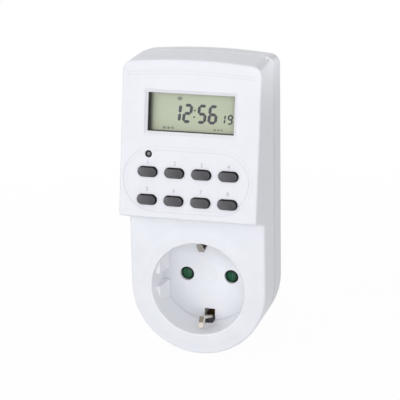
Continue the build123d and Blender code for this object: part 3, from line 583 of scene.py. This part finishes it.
# Looks of each piece, and the nodes that wear them. Grain and cloud are sizes in
# mm, sparkle is how far the grain varies the gloss, and relief how much it stands
# out. A pair of numbers is where a change begins and ends, unless it is a place.
# Three are a band's middle, half its width and its fade, and lines are a stretch.

looks = {
    "frontWhite": (
        caseShell,
        {"colour": (0.83, 0.84, 0.885, 1), "shade": (0.81, 0.82, 0.865, 1), "roughness": 0.36,
         # a brighter tone for painted light in the recess and on the step, and a grey for painted
         # shade in the corner and along the grooves
         "bright": (0.93, 0.935, 0.965, 1), "dust": (0.66, 0.67, 0.72, 1),
         "grain": 0.3, "cloud": 9.0, "sparkle": 0.06, "relief": 0.08,
         "recess": {"wall": (19.9, 20.3), "floor": (-28.2, -27.8), "corner": (-31.0, -28.4),
                    "shade": 0.5},
         "padGroove": {"length": 52.6, "height": 26.0, "width": 1.4, "middle": (-0.4, 15.4)},
         "archGroove": {"up": 58.6, "radius": 240.0, "width": 1.1, "reach": 25.8, "soft": 0.1},
         # the last number below is how strongly the groove edges are painted with shade
         "line": 0.12, "skin": (0.35, 0.1), "dirt": 0.28,
         # the opening's wall is painted black as shade
         "opening": {"length": 35.2, "height": 15.2, "across": -0.1, "up": 42.0, "soft": 0.05,
                     "depth": (-1.6, 0.42, 0.12), "ink": (0.008, 0.008, 0.01, 1)},
         "seam": {"slope": (-30.5, -28.5), "step": 1.6, "glint": (-29.5, 0.7, 0.4),
                  "top": (90.0, 94.0)}},
        ["front_cover"],
    ),
    "whiteSocketFloor": (
        socketPlastic,
        {"colour": (0.875, 0.885, 0.925, 1), "shade": (0.85, 0.86, 0.9, 1), "roughness": 0.42,
         # a grey for painted shade at the floor's edge and along the ring
         "dust": (0.68, 0.69, 0.74, 1), "grain": 0.4, "cloud": 6.0, "sparkle": 0.06, "relief": 0.1,
         "edge": {"radius": (10.0, 19.7), "tilt": 0.4, "lit": (-14.0, 4.0), "shade": 0.65},
         "ring": {"radius": (3.5, 0.1, 0.25), "shade": 0.12, "bump": 0.6, "height": 0.08}},
        ["socket_floor"],
    ),
    "greenShutter": (
        shutterPlastic,
        {"colour": (0.028, 0.14, 0.065, 1), "shade": (0.018, 0.1, 0.045, 1), "roughness": 0.34,
         # a lighter tone painted as light on the left, and a dark one painted as shade round the
         # rim
         "light": (0.06, 0.22, 0.12, 1), "dark": (0.006, 0.02, 0.01, 1), "hole": 9.5,
         "seen": (-0.7, -0.75), "lit": (-1.6, 0.6), "rim": (1.7, 2.5),
         "grain": 0.3, "sparkle": 0.1, "relief": 0.1},
        ["shutter"],
    ),
    "naturalNylon": (
        mouldedPlastic,
        {"colour": (0.72, 0.68, 0.58, 1), "shade": (0.62, 0.58, 0.48, 1), "roughness": 0.48,
         "grain": 0.5, "cloud": 5.0, "sparkle": 0.1, "relief": 0.15},
        ["shutter_housing", "pin_carrier"],
    ),
    "blackFrame": (
        mouldedPlastic,
        {"colour": (0.02, 0.02, 0.022, 1), "shade": (0.014, 0.014, 0.016, 1), "roughness": 0.5,
         "grain": 0.3, "cloud": 4.0, "sparkle": 0.1, "relief": 0.15},
        ["display_frame", "relay_base"],
    ),
    "greyRubber": (
        mouldedPlastic,
        {"colour": (0.16, 0.165, 0.175, 1), "shade": (0.12, 0.125, 0.13, 1), "roughness": 0.62,
         "grain": 0.5, "cloud": 5.0, "sparkle": 0.1, "relief": 0.2},
        ["keypad_mat", "zebra_strip"],
    ),
    "relayBlue": (
        mouldedPlastic,
        {"colour": (0.03, 0.12, 0.36, 1), "shade": (0.02, 0.09, 0.3, 1), "roughness": 0.3,
         "grain": 0.4, "cloud": 5.0, "sparkle": 0.08, "relief": 0.1},
        ["relay_case"],
    ),
    "filmYellow": (
        mouldedPlastic,
        {"colour": (0.75, 0.5, 0.05, 1), "shade": (0.66, 0.42, 0.04, 1), "roughness": 0.35,
         "grain": 0.4, "cloud": 4.0, "sparkle": 0.08, "relief": 0.1},
        ["film_capacitor"],
    ),
    "varistorBlue": (
        mouldedPlastic,
        {"colour": (0.02, 0.1, 0.42, 1), "shade": (0.015, 0.07, 0.32, 1), "roughness": 0.28,
         "grain": 0.7, "cloud": 2.5, "sparkle": 0.05, "relief": 0.3},
        ["varistor"],
    ),
    "chipEpoxy": (
        mouldedPlastic,
        {"colour": (0.022, 0.022, 0.024, 1), "shade": (0.016, 0.016, 0.018, 1), "roughness": 0.6,
         "grain": 0.2, "cloud": 3.0, "sparkle": 0.15, "relief": 0.25},
        ["control_chip"],
    ),
    "earthStrips": (
        earthStrip,
        {"colour": (0.78, 0.73, 0.64, 1), "shade": (0.1, 0.085, 0.06, 1), "roughness": 0.3,
         "lines": (1, 0.08, 1), "grain": 0.25, "cloud": 3.0, "relief": 0.12,
         # the bend, the deeper parts and the upper strip are darkened as painted shade; the stain
         # is tarnish
         "bend": (-40.6, 0.75, 0.5), "bendEnd": (0.7, 0.95), "bent": 0.75, "dull": 0.4,
         "root": (-31.0, -28.4), "shelf": (-39.6, -38.6), "stain": (0.45, 0.8), "stained": 0.4},
        ["upper_earth_strip", "lower_earth_strip"],
    ),
    "nickelStrip": (
        stampedMetal,
        {"colour": (0.72, 0.68, 0.6, 1), "shade": (0.52, 0.47, 0.4, 1), "roughness": 0.3,
         "lines": (1, 0.08, 1), "grain": 0.25, "cloud": 3.0, "relief": 0.12},
        ["cell_tabs"],
    ),
    "nickelPin": (
        stampedMetal,
        {"colour": (0.74, 0.72, 0.67, 1), "shade": (0.58, 0.55, 0.5, 1), "roughness": 0.2,
         "lines": (1, 6, 1), "grain": 0.5, "cloud": 5.0, "relief": 0.08},
        ["live_pin", "neutral_pin"],
    ),
    "brassStrip": (
        stampedMetal,
        {"colour": (0.72, 0.5, 0.22, 1), "shade": (0.52, 0.32, 0.13, 1), "roughness": 0.28,
         "lines": (1, 0.1, 1), "grain": 0.3, "cloud": 4.0, "relief": 0.12},
        ["live_sleeve", "neutral_sleeve", "live_feed_bar", "neutral_feed_bar", "switched_bar",
         "earth_bridge", "relay_contacts"],
    ),
    "springSteel": (
        stampedMetal,
        {"colour": (0.5, 0.5, 0.5, 1), "shade": (0.34, 0.33, 0.32, 1), "roughness": 0.3,
         "lines": (1, 1, 0.2), "grain": 0.3, "cloud": 2.0, "relief": 0.1},
        ["shutter_spring", "relay_yoke", "relay_armature", "case_screws", "power_board_screws",
         "control_board_screws"],
    ),
    "cellSteel": (
        stampedMetal,
        {"colour": (0.62, 0.62, 0.62, 1), "shade": (0.5, 0.49, 0.47, 1), "roughness": 0.24,
         "lines": (1, 1, 0.3), "grain": 0.2, "cloud": 4.0, "relief": 0.08},
        ["backup_cell", "crystal"],
    ),
    "clearWindow": (
        clearWindow,
        {"colour": (0.95, 0.97, 0.96, 1), "roughness": 0.03, "ior": 1.28, "haze": 0.01,
         "cloud": 8.0},
        ["display_window"],
    ),
    "oliveDisplay": (
        displayGlass,
        {"colour": (0.51, 0.555, 0.395, 1), "cool": (0.51, 0.565, 0.428, 1),
         # the near-black is the frame's painted shadow along the left and lower edges
         "shade": (0.445, 0.482, 0.344, 1), "border": (0.012, 0.014, 0.012, 1),
         "left": (-17.7, -15.8), "bottom": (67.2, 67.6),
         "roughness": 0.45, "grain": 0.35, "cloud": 12.0, "coat": 0.25, "coatRoughness": 0.08,
         "speckle": (0.2, 0.8), "speckled": 0.25},
        ["lcd_glass"],
    ),
    "greenBoard": (
        circuitBoard,
        {"colour": (0.012, 0.11, 0.035, 1), "track": (0.03, 0.2, 0.06, 1),
         "shade": (0.01, 0.08, 0.03, 1), "tin": (0.62, 0.62, 0.6, 1), "roughness": 0.32,
         "pitch": 2.2, "irregular": 0.55, "trackEdge": (0.44, 0.5), "padEdge": (0.1, 0.13),
         "copper": 0.05, "grain": 0.4, "relief": 0.4, "weave": (0.3, 0.8), "woven": 0.3},
        ["power_board", "control_board"],
    ),
    "coilCopper": (
        woundWire,
        {"colour": (0.62, 0.25, 0.08, 1), "shade": (0.25, 0.08, 0.02, 1), "roughness": 0.32,
         "metal": 0.85, "pitch": 0.45, "groove": (0.0, 0.25), "depth": 0.135, "relief": 0.8},
        ["relay_coil"],
    ),
    "fuseBody": (
        bandedBody,
        {"colour": (0.12, 0.3, 0.36, 1), "shade": (0.09, 0.24, 0.3, 1), "roughness": 0.4,
         "grain": 0.5, "mottled": 0.4, "ring": (0.45, 0.1),
         "rings": [(48.2, (0.3, 0.1, 0.03, 1)), (49.9, (0.02, 0.02, 0.02, 1)),
                   (51.6, (0.02, 0.02, 0.02, 1)), (53.8, (0.55, 0.4, 0.12, 1))]},
        ["fuse_resistor"],
    ),
    "diodeBody": (
        bandedBody,
        {"colour": (0.02, 0.02, 0.022, 1), "shade": (0.03, 0.03, 0.03, 1), "roughness": 0.45,
         "grain": 0.5, "mottled": 0.4, "ring": (0.25, 0.1),
         "rings": [(61.5, (0.6, 0.6, 0.6, 1))]},
        ["rectifier_diodes"],
    ),
    "sleevedCan": (
        sleevedCan,
        {"colour": (0.66, 0.66, 0.67, 1), "sleeve": (0.02, 0.024, 0.045, 1),
         "mark": (0.5, 0.52, 0.55, 1), "end": (-35.7, -35.45), "stripe": (8.6, 8.8),
         "roughness": 0.35, "grain": 0.4, "relief": 0.15, "depth": 0.05},
        ["smoothing_capacitor"],
    ),
    "greyRibbon": (
        flatRibbon,
        {"colour": (0.36, 0.37, 0.4, 1), "shade": (0.14, 0.14, 0.16, 1),
         "mark": (0.45, 0.05, 0.04, 1), "roughness": 0.4, "first": (17.6, 17.7),
         "pitch": 0.9, "groove": (0.0, 0.3), "depth": 0.36, "relief": 0.6},
        ["ribbon_cable"],
    ),
}

# the back cover and plug base wear the same look, painted greyer as painted shade
looks["backWhite"] = (
    caseShell,
    dict(looks["frontWhite"][1], colour=(0.785, 0.795, 0.84, 1), shade=(0.765, 0.775, 0.82, 1)),
    ["back_cover", "plug_base"],
)

materials = {}
for name, (recipe, look, worn) in looks.items():
    materials[name] = makeMaterial(name, recipe, look)
    for node in worn:
        mesh = nodes[node].data
        mesh.materials.clear()
        mesh.materials.append(materials[name])
print("materials on", sum(len(worn) for recipe, look, worn in looks.values()), "nodes")


# Making meshes with node trees


def addObject(name, data):
    made = bpy.data.objects.new(name, data)
    bpy.context.scene.collection.objects.link(made)
    return made


def plainMesh(name, source):
    # the finished shape of an object as a mesh of its own; the object goes
    graph = bpy.context.evaluated_depsgraph_get()
    mesh = bpy.data.meshes.new_from_object(source.evaluated_get(graph), depsgraph=graph)
    bpy.data.objects.remove(source)
    mesh.name = name
    return mesh


def treeWith(name, inputs):
    # an empty geometry tree with these named number inputs
    tree = bpy.data.node_groups.new(name, "GeometryNodeTree")
    for side in ("OUTPUT", "INPUT"):
        tree.interface.new_socket("Geometry", in_out=side, socket_type="NodeSocketGeometry")
    for label, value in inputs.items():
        made = tree.interface.new_socket(label, in_out="INPUT", socket_type="NodeSocketFloat")
        made.default_value = value
    entry = tree.nodes.new("NodeGroupInput")
    named = {socket.name: Wire(tree, socket) for socket in entry.outputs if socket.name}
    return tree, Wire(tree), named


def closeTree(start, geometry, material):
    # every tree ends this way: real meshes, in one finish
    real = start.node("GeometryNodeRealizeInstances", {}, {"Geometry": geometry})
    sockets = {"Geometry": real, "Material": material}
    dressed = start.node("GeometryNodeSetMaterial", {}, sockets)
    start.node("NodeGroupOutput", {}, {"Geometry": dressed})


def runTree(name, tree, values, mesh=None):
    # runs the tree with these input values and gives back a plain mesh object
    source = addObject(name + "Source", mesh or bpy.data.meshes.new(name + "Start"))
    modifier = source.modifiers.new("shape", "NODES")
    modifier.node_group = tree
    for item in tree.interface.items_tree:
        if item.in_out == "INPUT" and item.name in values:
            modifier[item.identifier] = values[item.name]
    return addObject(name, plainMesh(name, source))


def smooth(piece, angle):
    # soft shading, apart from edges that turn by more than this many degrees
    piece.data.polygons.foreach_set("use_smooth", [True] * len(piece.data.polygons))
    piece.data.set_sharp_from_angle(angle=math.radians(angle))


# Key caps: one rule for the eight keys and the small reset button

keyPlaces = {"pitch": (11.0, 11.1), "middle": (-0.2, 12.7), "columns": 4, "rows": 2}
keyCap = {
    "length": 8.0, "height": 4.0, "stand": 0.95, "edge": 0.3, "crown": 0.15,
    "foot": 3.4, "flangeFront": 2.3, "flangeBack": 3.1, "flange": 0.8,
}
keyLook = {
    "colour": (0.05, 0.05, 0.057, 1), "shade": (0.041, 0.041, 0.047, 1), "roughness": 0.36,
    # the sides' colour is painted shade, and the paler tone low on the left of each top is painted
    # light
    "side": (0.006, 0.006, 0.007, 1), "pale": (0.094, 0.094, 0.103, 1), "worn": (-4.0, 2.5),
    "pitch": keyPlaces["pitch"], "middle": keyPlaces["middle"], "top": (0.66, 0.84),
    "offset": (0.2, 0.18), "straight": 2.0, "edge": (1.78, 1.9),
    "grain": 0.25, "cloud": 2.2, "sparkle": 0.1, "relief": 0.12,
}
resetPlace = {"across": -16.6, "up": 25.3, "width": 2.52, "sunk": 0.7}
resetCap = dict(
    keyCap, length=resetPlace["width"], height=resetPlace["width"], stand=-resetPlace["sunk"],
    edge=0.25, crown=0.06, flange=1.02,
)
resetLook = dict(
    keyLook, colour=(0.24, 0.24, 0.25, 1), shade=(0.16, 0.16, 0.17, 1), cloud=0.8,
    middle=(resetPlace["across"], resetPlace["up"]), ring=(0.5, 0.9),
)
materials["keyGrey"] = makeMaterial("keyGrey", keyPlastic, keyLook)
materials["resetGrey"] = makeMaterial("resetGrey", keyPlastic, resetLook)

# the cap tree's inputs, and the sizes they take
capInputs = {
    "Length": "length", "Height": "height", "Stand": "stand", "Edge": "edge", "Crown": "crown",
    "Foot": "foot", "Flange front": "flangeFront", "Flange back": "flangeBack", "Flange": "flange",
}
# steps round a cap and over its edge, where rings lie on the crown, and the shading
capMesh = {"around": 48, "corner": 5, "crownRings": (0.35, 0.7, 0.95), "weld": 0.01, "sharp": 40}


def capTree(material):
    # rings from the crown down over the edge, the stem and the flange
    tree, start, size = treeWith("caps" + material.name, dict.fromkeys(capInputs, 1.0))
    half = size["Height"] * 0.5
    straight = (size["Length"] - size["Height"]) * 0.5
    flat = half - size["Edge"]
    wide = half + size["Flange"]
    top = size["Stand"]
    rings = [(0.0, top + size["Crown"])]
    for share in capMesh["crownRings"]:
        rings.append((flat * share, top + size["Crown"] * (1 - share**2)))
    for step in range(capMesh["corner"] + 1):
        turn = math.radians(90 * step / capMesh["corner"])
        drop = size["Edge"] * (1 - math.cos(turn))
        rings.append((flat + size["Edge"] * math.sin(turn), top - drop))
    rings += [
        (half, 0 - size["Flange front"]),
        (wide, 0 - size["Flange front"]),
        (wide, 0 - size["Flange back"]),
        (half, 0 - size["Flange back"]),
        (half, 0 - size["Foot"]),
        (0.0, 0 - size["Foot"]),
    ]
    columns = capMesh["around"] + 1
    sockets = {"Vertices X": len(rings), "Vertices Y": columns}
    grid = start.node("GeometryNodeMeshGrid", {}, sockets)
    index = start.node("GeometryNodeInputIndex")
    ring = start.maths("FLOOR", index / columns + 0.0001)
    turn = (index - ring * columns + 0.5) * (2 * math.pi / capMesh["around"])

    def atRing(values):
        # the value that belongs to a vertex's ring
        settings = {"data_type": "FLOAT", "items": len(rings)}
        sockets = {str(number): value for number, value in enumerate(values)}
        return start.node("GeometryNodeIndexSwitch", settings, {"Index": ring, **sockets})

    reach, height = [atRing(values) for values in zip(*rings)]
    cosine = start.maths("COSINE", turn)
    across = reach * cosine + straight * start.maths("SIGN", cosine)
    up = reach * start.maths("SINE", turn)
    sockets = {0: across * mm, 1: up * mm, 2: height * mm}
    place = start.node("ShaderNodeCombineXYZ", {}, sockets)
    sockets = {"Geometry": grid, "Position": place}
    shaped = start.node("GeometryNodeSetPosition", {}, sockets)
    sockets = {"Geometry": shaped, "Distance": capMesh["weld"] * mm}
    closeTree(start, start.node("GeometryNodeMergeByDistance", {}, sockets), material)
    return tree


def makeCap(name, node, body, place, sizes, tree):
    cap = runTree(name, tree, {label: sizes[size] for label, size in capInputs.items()})
    across, up = place
    cap.data.transform(faceMatrix() @ Matrix.Translation((across * mm, up * mm, 0)))
    smooth(cap, capMesh["sharp"])
    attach(cap, body)
    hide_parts(node)
    return cap


# the keys are numbered along the upper row, then the lower
keyCentres = []
for row in range(keyPlaces["rows"]):
    for column in range(keyPlaces["columns"]):
        steps = column - (keyPlaces["columns"] - 1) / 2, (keyPlaces["rows"] - 1) / 2 - row
        across = keyPlaces["middle"][0] + steps[0] * keyPlaces["pitch"][0]
        up = keyPlaces["middle"][1] + steps[1] * keyPlaces["pitch"][1]
        keyCentres.append((across, up))
keyTree = capTree(materials["keyGrey"])
for number, place in enumerate(keyCentres, start=1):
    makeCap(f"keyCap{number}", f"key_{number}", f"key_{number}", place, keyCap, keyTree)
resetTree = capTree(materials["resetGrey"])
place = (resetPlace["across"], resetPlace["up"])
makeCap("resetCap", "reset_button", "reset_button", place, resetCap, resetTree)
print("key caps made:", len(keyCentres) + 1)


# The shutter's spring, wound as a still coil; the real one closes up as the shutter slides

# travel is how far the shutter slides, and fixedEnd is where the coil's still end
# sits, to the right of the middle
springCoil = {
    "wire": 0.35, "radius": 1.1, "length": 12.0, "turns": 8, "steps": 32, "sides": 10,
    "travel": 6.3, "fixedEnd": 12.0, "sharp": 60,
}


def coilTree(material):
    # round wire wound on a spiral
    inputs = {"Turns": 1.0, "Radius": 0.01, "Height": 0.01, "Wire": 0.001}
    tree, start, size = treeWith("coil" + material.name, inputs)
    sockets = {
        "Resolution": springCoil["steps"], "Rotations": size["Turns"], "Height": size["Height"],
        "Start Radius": size["Radius"], "End Radius": size["Radius"],
    }
    spiral = start.node("GeometryNodeCurveSpiral", {}, sockets)
    sockets = {"Resolution": springCoil["sides"], "Radius": size["Wire"] * 0.5}
    circle = start.node("GeometryNodeCurvePrimitiveCircle", {}, sockets)
    sockets = {"Curve": spiral, "Profile Curve": circle, "Fill Caps": True}
    closeTree(start, start.node("GeometryNodeCurveToMesh", {}, sockets), material)
    return tree


def makeSpring(name, node):
    low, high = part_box(node)
    height = springCoil["length"] - 2 * springCoil["wire"]
    values = {
        "Turns": float(springCoil["turns"]), "Radius": springCoil["radius"] * mm,
        "Height": height * mm, "Wire": springCoil["wire"] * mm,
    }
    spring = runTree(name, coilTree(materials["springSteel"]), values)
    # the coil is wound upwards, and lies across the housing
    centred = Matrix.Translation((0, 0, -height / 2 * mm))
    lying = Matrix.Rotation(math.radians(90), 4, "Y")
    middle = (Vector(low) + Vector(high)) / 2
    spring.data.transform(Matrix.Translation(middle) @ lying @ centred)
    smooth(spring, springCoil["sharp"])
    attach(spring, "case")
    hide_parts(node)
    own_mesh(spring)
    return spring


makeSpring("shutterCoil", "shutter_spring")
print("spring wound:", springCoil["turns"], "turns")


# Display segments

segmentLook = {
    "colour": (0.04, 0.042, 0.052, 1), "worn": (0.052, 0.055, 0.062, 1), "roughness": 0.5,
    "grain": 0.4, "sparkle": 0.2, "broken": (0.4, 0.75),
}
faintLook = dict(segmentLook, colour=(0.22, 0.24, 0.19, 1), worn=(0.3, 0.33, 0.26, 1))
display = {
    "depth": 4.375, "slant": 0.094, "thick": 0.02,  # behind the face, and sideways per height
    "time": {
        "digits": [("1", -6.8), ("2", -2.3), ("5", 3.6), ("6", 8.05)],
        "middle": 41.72, "width": 2.7, "height": 7.65, "stroke": 1.2, "gap": 0.08,
    },
    "date": {
        "digits": [("1", 12.15), ("9", 15.1)],
        "middle": 40.15, "width": 1.5, "height": 3.95, "stroke": 0.66, "gap": 0.04,
    },
    "colon": {"dots": [(0.53, 43.05), (0.53, 40.4)], "size": 0.95},
    # across, up, length and width of each short bar
    "marks": [
        (-5.6, 47.5, 2.5, 1.5), (-11.7, 35.7, 1.7, 1.0), (-9.9, 35.7, 1.5, 1.0),
        (-8.3, 35.7, 1.3, 1.0), (9.0, 35.8, 1.3, 0.9), (10.5, 35.8, 1.1, 0.9),
        (11.8, 35.8, 1.0, 0.9),
    ],
}
segmentsOf = {"1": "bc", "2": "abged", "5": "afgcd", "6": "afgedc", "9": "abcdfg"}
materials["segmentInk"] = makeMaterial("segmentInk", printedInk, segmentLook)
materials["faintInk"] = makeMaterial("faintInk", printedInk, faintLook)


def segmentTree(material):
    # a six-sided bar on every point, as long, wide and turned as the point says
    tree, start, size = treeWith("segments" + material.name, {"Thickness": 0.02})

    def read(attribute, kind="FLOAT"):
        settings = {"data_type": kind}
        return start.node("GeometryNodeInputNamedAttribute", settings, {"Name": attribute})

    sockets = {"Vertices": 6, "Radius": 1.0, "Depth": 1.0}
    bar = start.node("GeometryNodeMeshCylinder", {}, sockets)
    sockets = {"Points": size["Geometry"], "Instance": bar}
    placed = start.node("GeometryNodeInstanceOnPoints", {}, sockets)
    real = start.node("GeometryNodeRealizeInstances", {}, {"Geometry": placed})
    here = start.node("GeometryNodeInputPosition")
    middle = read("middle", "FLOAT_VECTOR")
    offset = start.node("ShaderNodeVectorMath", {"operation": "SUBTRACT"}, {0: here, 1: middle})
    x, y, z = axes(start, offset)
    # the hexagon's tips stay at the bar's ends, and its flanks move out to its width
    flank = 1 - start.maths("GREATER_THAN", start.maths("ABSOLUTE", x), 0.9)
    halfWidth = read("width") * 0.5 * flank
    along = start.maths("SIGN", x) * (read("length") * 0.5 - halfWidth)
    aside = start.maths("SIGN", y) * halfWidth
    turn = read("turn")
    cosine, sine = start.maths("COSINE", turn), start.maths("SINE", turn)
    sockets = {
        0: (along * cosine - aside * sine) * mm,
        1: (along * sine + aside * cosine) * mm,
        2: start.maths("SIGN", z) * size["Thickness"] * (0.5 * mm),
    }
    moved = start.node("ShaderNodeCombineXYZ", {}, sockets)
    place = start.node("ShaderNodeVectorMath", {"operation": "ADD"}, {0: middle, 1: moved})
    sockets = {"Geometry": real, "Position": place}
    closeTree(start, start.node("GeometryNodeSetPosition", {}, sockets), material)
    return tree


def makeSegments(name, bars, material, slant, middleUp):
    # bars are (across, up, turn, length, width) on the face, in mm and degrees
    mesh = bpy.data.meshes.new(name + "Points")
    points = [(across * mm, up * mm, 0) for across, up, turn, length, width in bars]
    mesh.from_pydata(points, [], [])
    numbers = {
        "turn": [math.radians(bar[2]) for bar in bars],
        "length": [bar[3] for bar in bars],
        "width": [bar[4] for bar in bars],
    }
    for label, values in numbers.items():
        mesh.attributes.new(label, "FLOAT", "POINT").data.foreach_set("value", values)
    middles = mesh.attributes.new("middle", "FLOAT_VECTOR", "POINT").data
    middles.foreach_set("vector", [value for point in points for value in point])
    piece = runTree(name, segmentTree(material), {"Thickness": display["thick"]}, mesh)
    for vertex in piece.data.vertices:
        vertex.co.x += (vertex.co.y - middleUp * mm) * slant
    piece.data.transform(faceMatrix(display["depth"]))
    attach(piece, "case")
    return piece


def digitBars(row):
    # the bars of each digit in a row, named a to g as usual
    width, height = row["width"], row["height"] - row["stroke"]
    w, h = width / 2, height / 2
    places = {
        "a": (0, h, 0), "d": (0, -h, 0), "g": (0, 0, 0),
        "b": (w, h / 2, 90), "c": (w, -h / 2, 90), "e": (-w, -h / 2, 90), "f": (-w, h / 2, 90),
    }
    made = []
    for digit, across in row["digits"]:
        for letter in segmentsOf[digit]:
            x, y, turn = places[letter]
            length = (h if turn else width) - row["gap"]
            made.append((across + x, row["middle"] + y, turn, length, row["stroke"]))
    return made


time, date, colon = display["time"], display["date"], display["colon"]
large = digitBars(time)
for across, up in colon["dots"]:
    large.append((across, up, 0, colon["size"], colon["size"]))
small = digitBars(date)
faint = [(across, up, 0, length, width) for across, up, length, width in display["marks"]]
ink = materials["segmentInk"]
makeSegments("displayDigits", large, ink, display["slant"], time["middle"])
makeSegments("displayDate", small, ink, display["slant"], date["middle"])
makeSegments("displayMarks", faint, materials["faintInk"], 0.0, time["middle"])
print("display bars:", len(large) + len(small) + len(faint))


# Printed numbers over the keys

# a figure's height is about this share of its type size
numberPrint = {"height": 1.6, "share": 0.7, "above": (3.75, 4.1), "sunk": -0.012, "thick": 0.012}
numberLook = dict(
    segmentLook, colour=(0.42, 0.42, 0.44, 1), worn=(0.52, 0.52, 0.55, 1), grain=0.3,
)
materials["numberInk"] = makeMaterial("numberInk", printedInk, numberLook)


def printNumber(text, across, up):
    curve = bpy.data.curves.new("number" + text, "FONT")
    curve.body = text
    curve.align_x = "CENTER"
    curve.align_y = "CENTER"
    curve.size = numberPrint["height"] / numberPrint["share"] * mm
    curve.extrude = numberPrint["thick"] * mm
    mesh = plainMesh("number" + text, addObject("number" + text, curve))
    place = Matrix.Translation((across * mm, up * mm, 0))
    mesh.transform(faceMatrix(numberPrint["sunk"]) @ place)
    mesh.materials.clear()
    mesh.materials.append(materials["numberInk"])
    piece = addObject("keyNumber" + text, mesh)
    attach(piece, "case")
    return piece


for number, (across, up) in enumerate(keyCentres, start=1):
    row = (number - 1) // keyPlaces["columns"]
    printNumber(str(number), across, up + numberPrint["above"][row])
print("numbers printed:", len(keyCentres))


# Floor, light and camera

stage = {
    "size": 6.0, "drop": 0.0002, "colour": (0.9, 0.9, 0.91, 1), "roughness": 0.8, "grain": 40.0,
    "white": 0.97, "reach": (0.08, 0.32),
}
lights = {
    "key": {"place": (-0.99, -1.24, 0.58), "size": 0.9, "power": 7.3},
    "fill": {"place": (0.56, -1.5, 0.35), "size": 0.9, "power": 9.0},
    "top": {"place": (-0.1, 0.0, 1.3), "size": 1.0, "power": 3.2},
    # a narrow beam along the right side, up by the display
    "side": {"place": (0.68, -0.15, 0.122), "size": 0.02, "power": 0.003, "spread": 6.0,
             "aim": (0.028, -0.03, 0.113)},
}
aim = (0.0, -0.035, 0.034)  # where a light points unless it has an aim of its own
sky = {"light": (0.97, 0.98, 1.0, 1), "strength": 0.38}
paperWhite = {"Color": (1, 1, 1, 1), "Strength": 1.0}


def seenPlainly(start):
    # 1 where the camera looks, or where a shine or clear glass shows it
    seen = camera = start.node("ShaderNodeLightPath")
    for kind in ("Is Glossy Ray", "Is Transmission Ray"):
        seen = start.maths("MAXIMUM", seen, camera.beside(kind))
    return seen


def floorFinish(start, look):
    # lit like paper, and lifted to plain white where it is seen; away from the
    # object the last of the grey goes too
    place = objectPlace(start)
    grain = noise(start, place, look["grain"])
    across, back, up = axes(start, place)
    clear = smoothMask(start, reachOf(start, across, back), *look["reach"])
    share = look["white"] + (1 - look["white"]) * clear
    roughness = look["roughness"] + (grain - 0.5) * 0.05
    paper = surface(start, Base_Color=look["colour"], Roughness=roughness)
    glow = start.node("ShaderNodeEmission", {}, paperWhite)
    sockets = {0: seenPlainly(start) * share, 1: paper, 2: glow}
    return start.node("ShaderNodeMixShader", {}, sockets)


low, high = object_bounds()
half = stage["size"] / 2
level = low.z - stage["drop"]
corners = [(x * half, y * half, level) for x, y in ((-1, -1), (1, -1), (1, 1), (-1, 1))]
floorMesh = bpy.data.meshes.new("studioFloor")
floorMesh.from_pydata(corners, [], [(0, 1, 2, 3)])
floorMesh.materials.append(makeMaterial("studioPaper", floorFinish, stage))
floor = addObject("studioFloor", floorMesh)

for name, light in lights.items():
    lamp = bpy.data.lights.new(name + "Light", "AREA")
    lamp.shape = "SQUARE"
    lamp.size = light["size"]
    lamp.energy = light["power"]
    lamp.spread = math.radians(light.get("spread", 180.0))
    holder = addObject(name + "Light", lamp)
    holder.location = light["place"]
    towards = Vector(light.get("aim", aim)) - Vector(light["place"])
    holder.rotation_euler = towards.to_track_quat("-Z", "Y").to_euler()

world = bpy.data.worlds.new("studioSky")
bpy.context.scene.world = world
world.use_nodes = True
world.node_tree.nodes.clear()
start = Wire(world.node_tree)
sockets = {"Color": sky["light"], "Strength": sky["strength"]}
dim = start.node("ShaderNodeBackground", {}, sockets)
white = start.node("ShaderNodeBackground", {}, paperWhite)
blended = start.node("ShaderNodeMixShader", {}, {0: seenPlainly(start), 1: dim, 2: white})
start.node("ShaderNodeOutputWorld", {}, {"Surface": blended})

# where the camera stands, and how it is turned: right of the object, looking down
cameraPlace = {
    "place": (0.19212, -0.70321, 0.25874), "turn": 16.158, "tilt": 17.846, "roll": 1.046,
    "lens": 161.82, "sensor": 36.0, "near": 0.01, "far": 50.0,
}


def cameraMatrix(place):
    turn = Matrix.Rotation(math.radians(place["turn"]), 3, "Z")
    tilt = Matrix.Rotation(-math.radians(place["tilt"]), 3, "X")
    roll = Matrix.Rotation(math.radians(place["roll"]), 3, "Y")
    right, ahead, up = (turn @ tilt @ roll).transposed()
    turned = Matrix((right, up, -ahead)).transposed().to_4x4()
    return Matrix.Translation(Vector(place["place"])) @ turned


cameraData = bpy.data.cameras.new("camera")
cameraData.sensor_width = cameraPlace["sensor"]
cameraData.lens = cameraPlace["lens"]
cameraData.clip_start = cameraPlace["near"]
cameraData.clip_end = cameraPlace["far"]
camera = addObject("camera", cameraData)
camera.matrix_world = cameraMatrix(cameraPlace)
bpy.context.scene.camera = camera
bpy.context.scene.view_settings.view_transform = "Standard"
print("stage, lights and camera set")
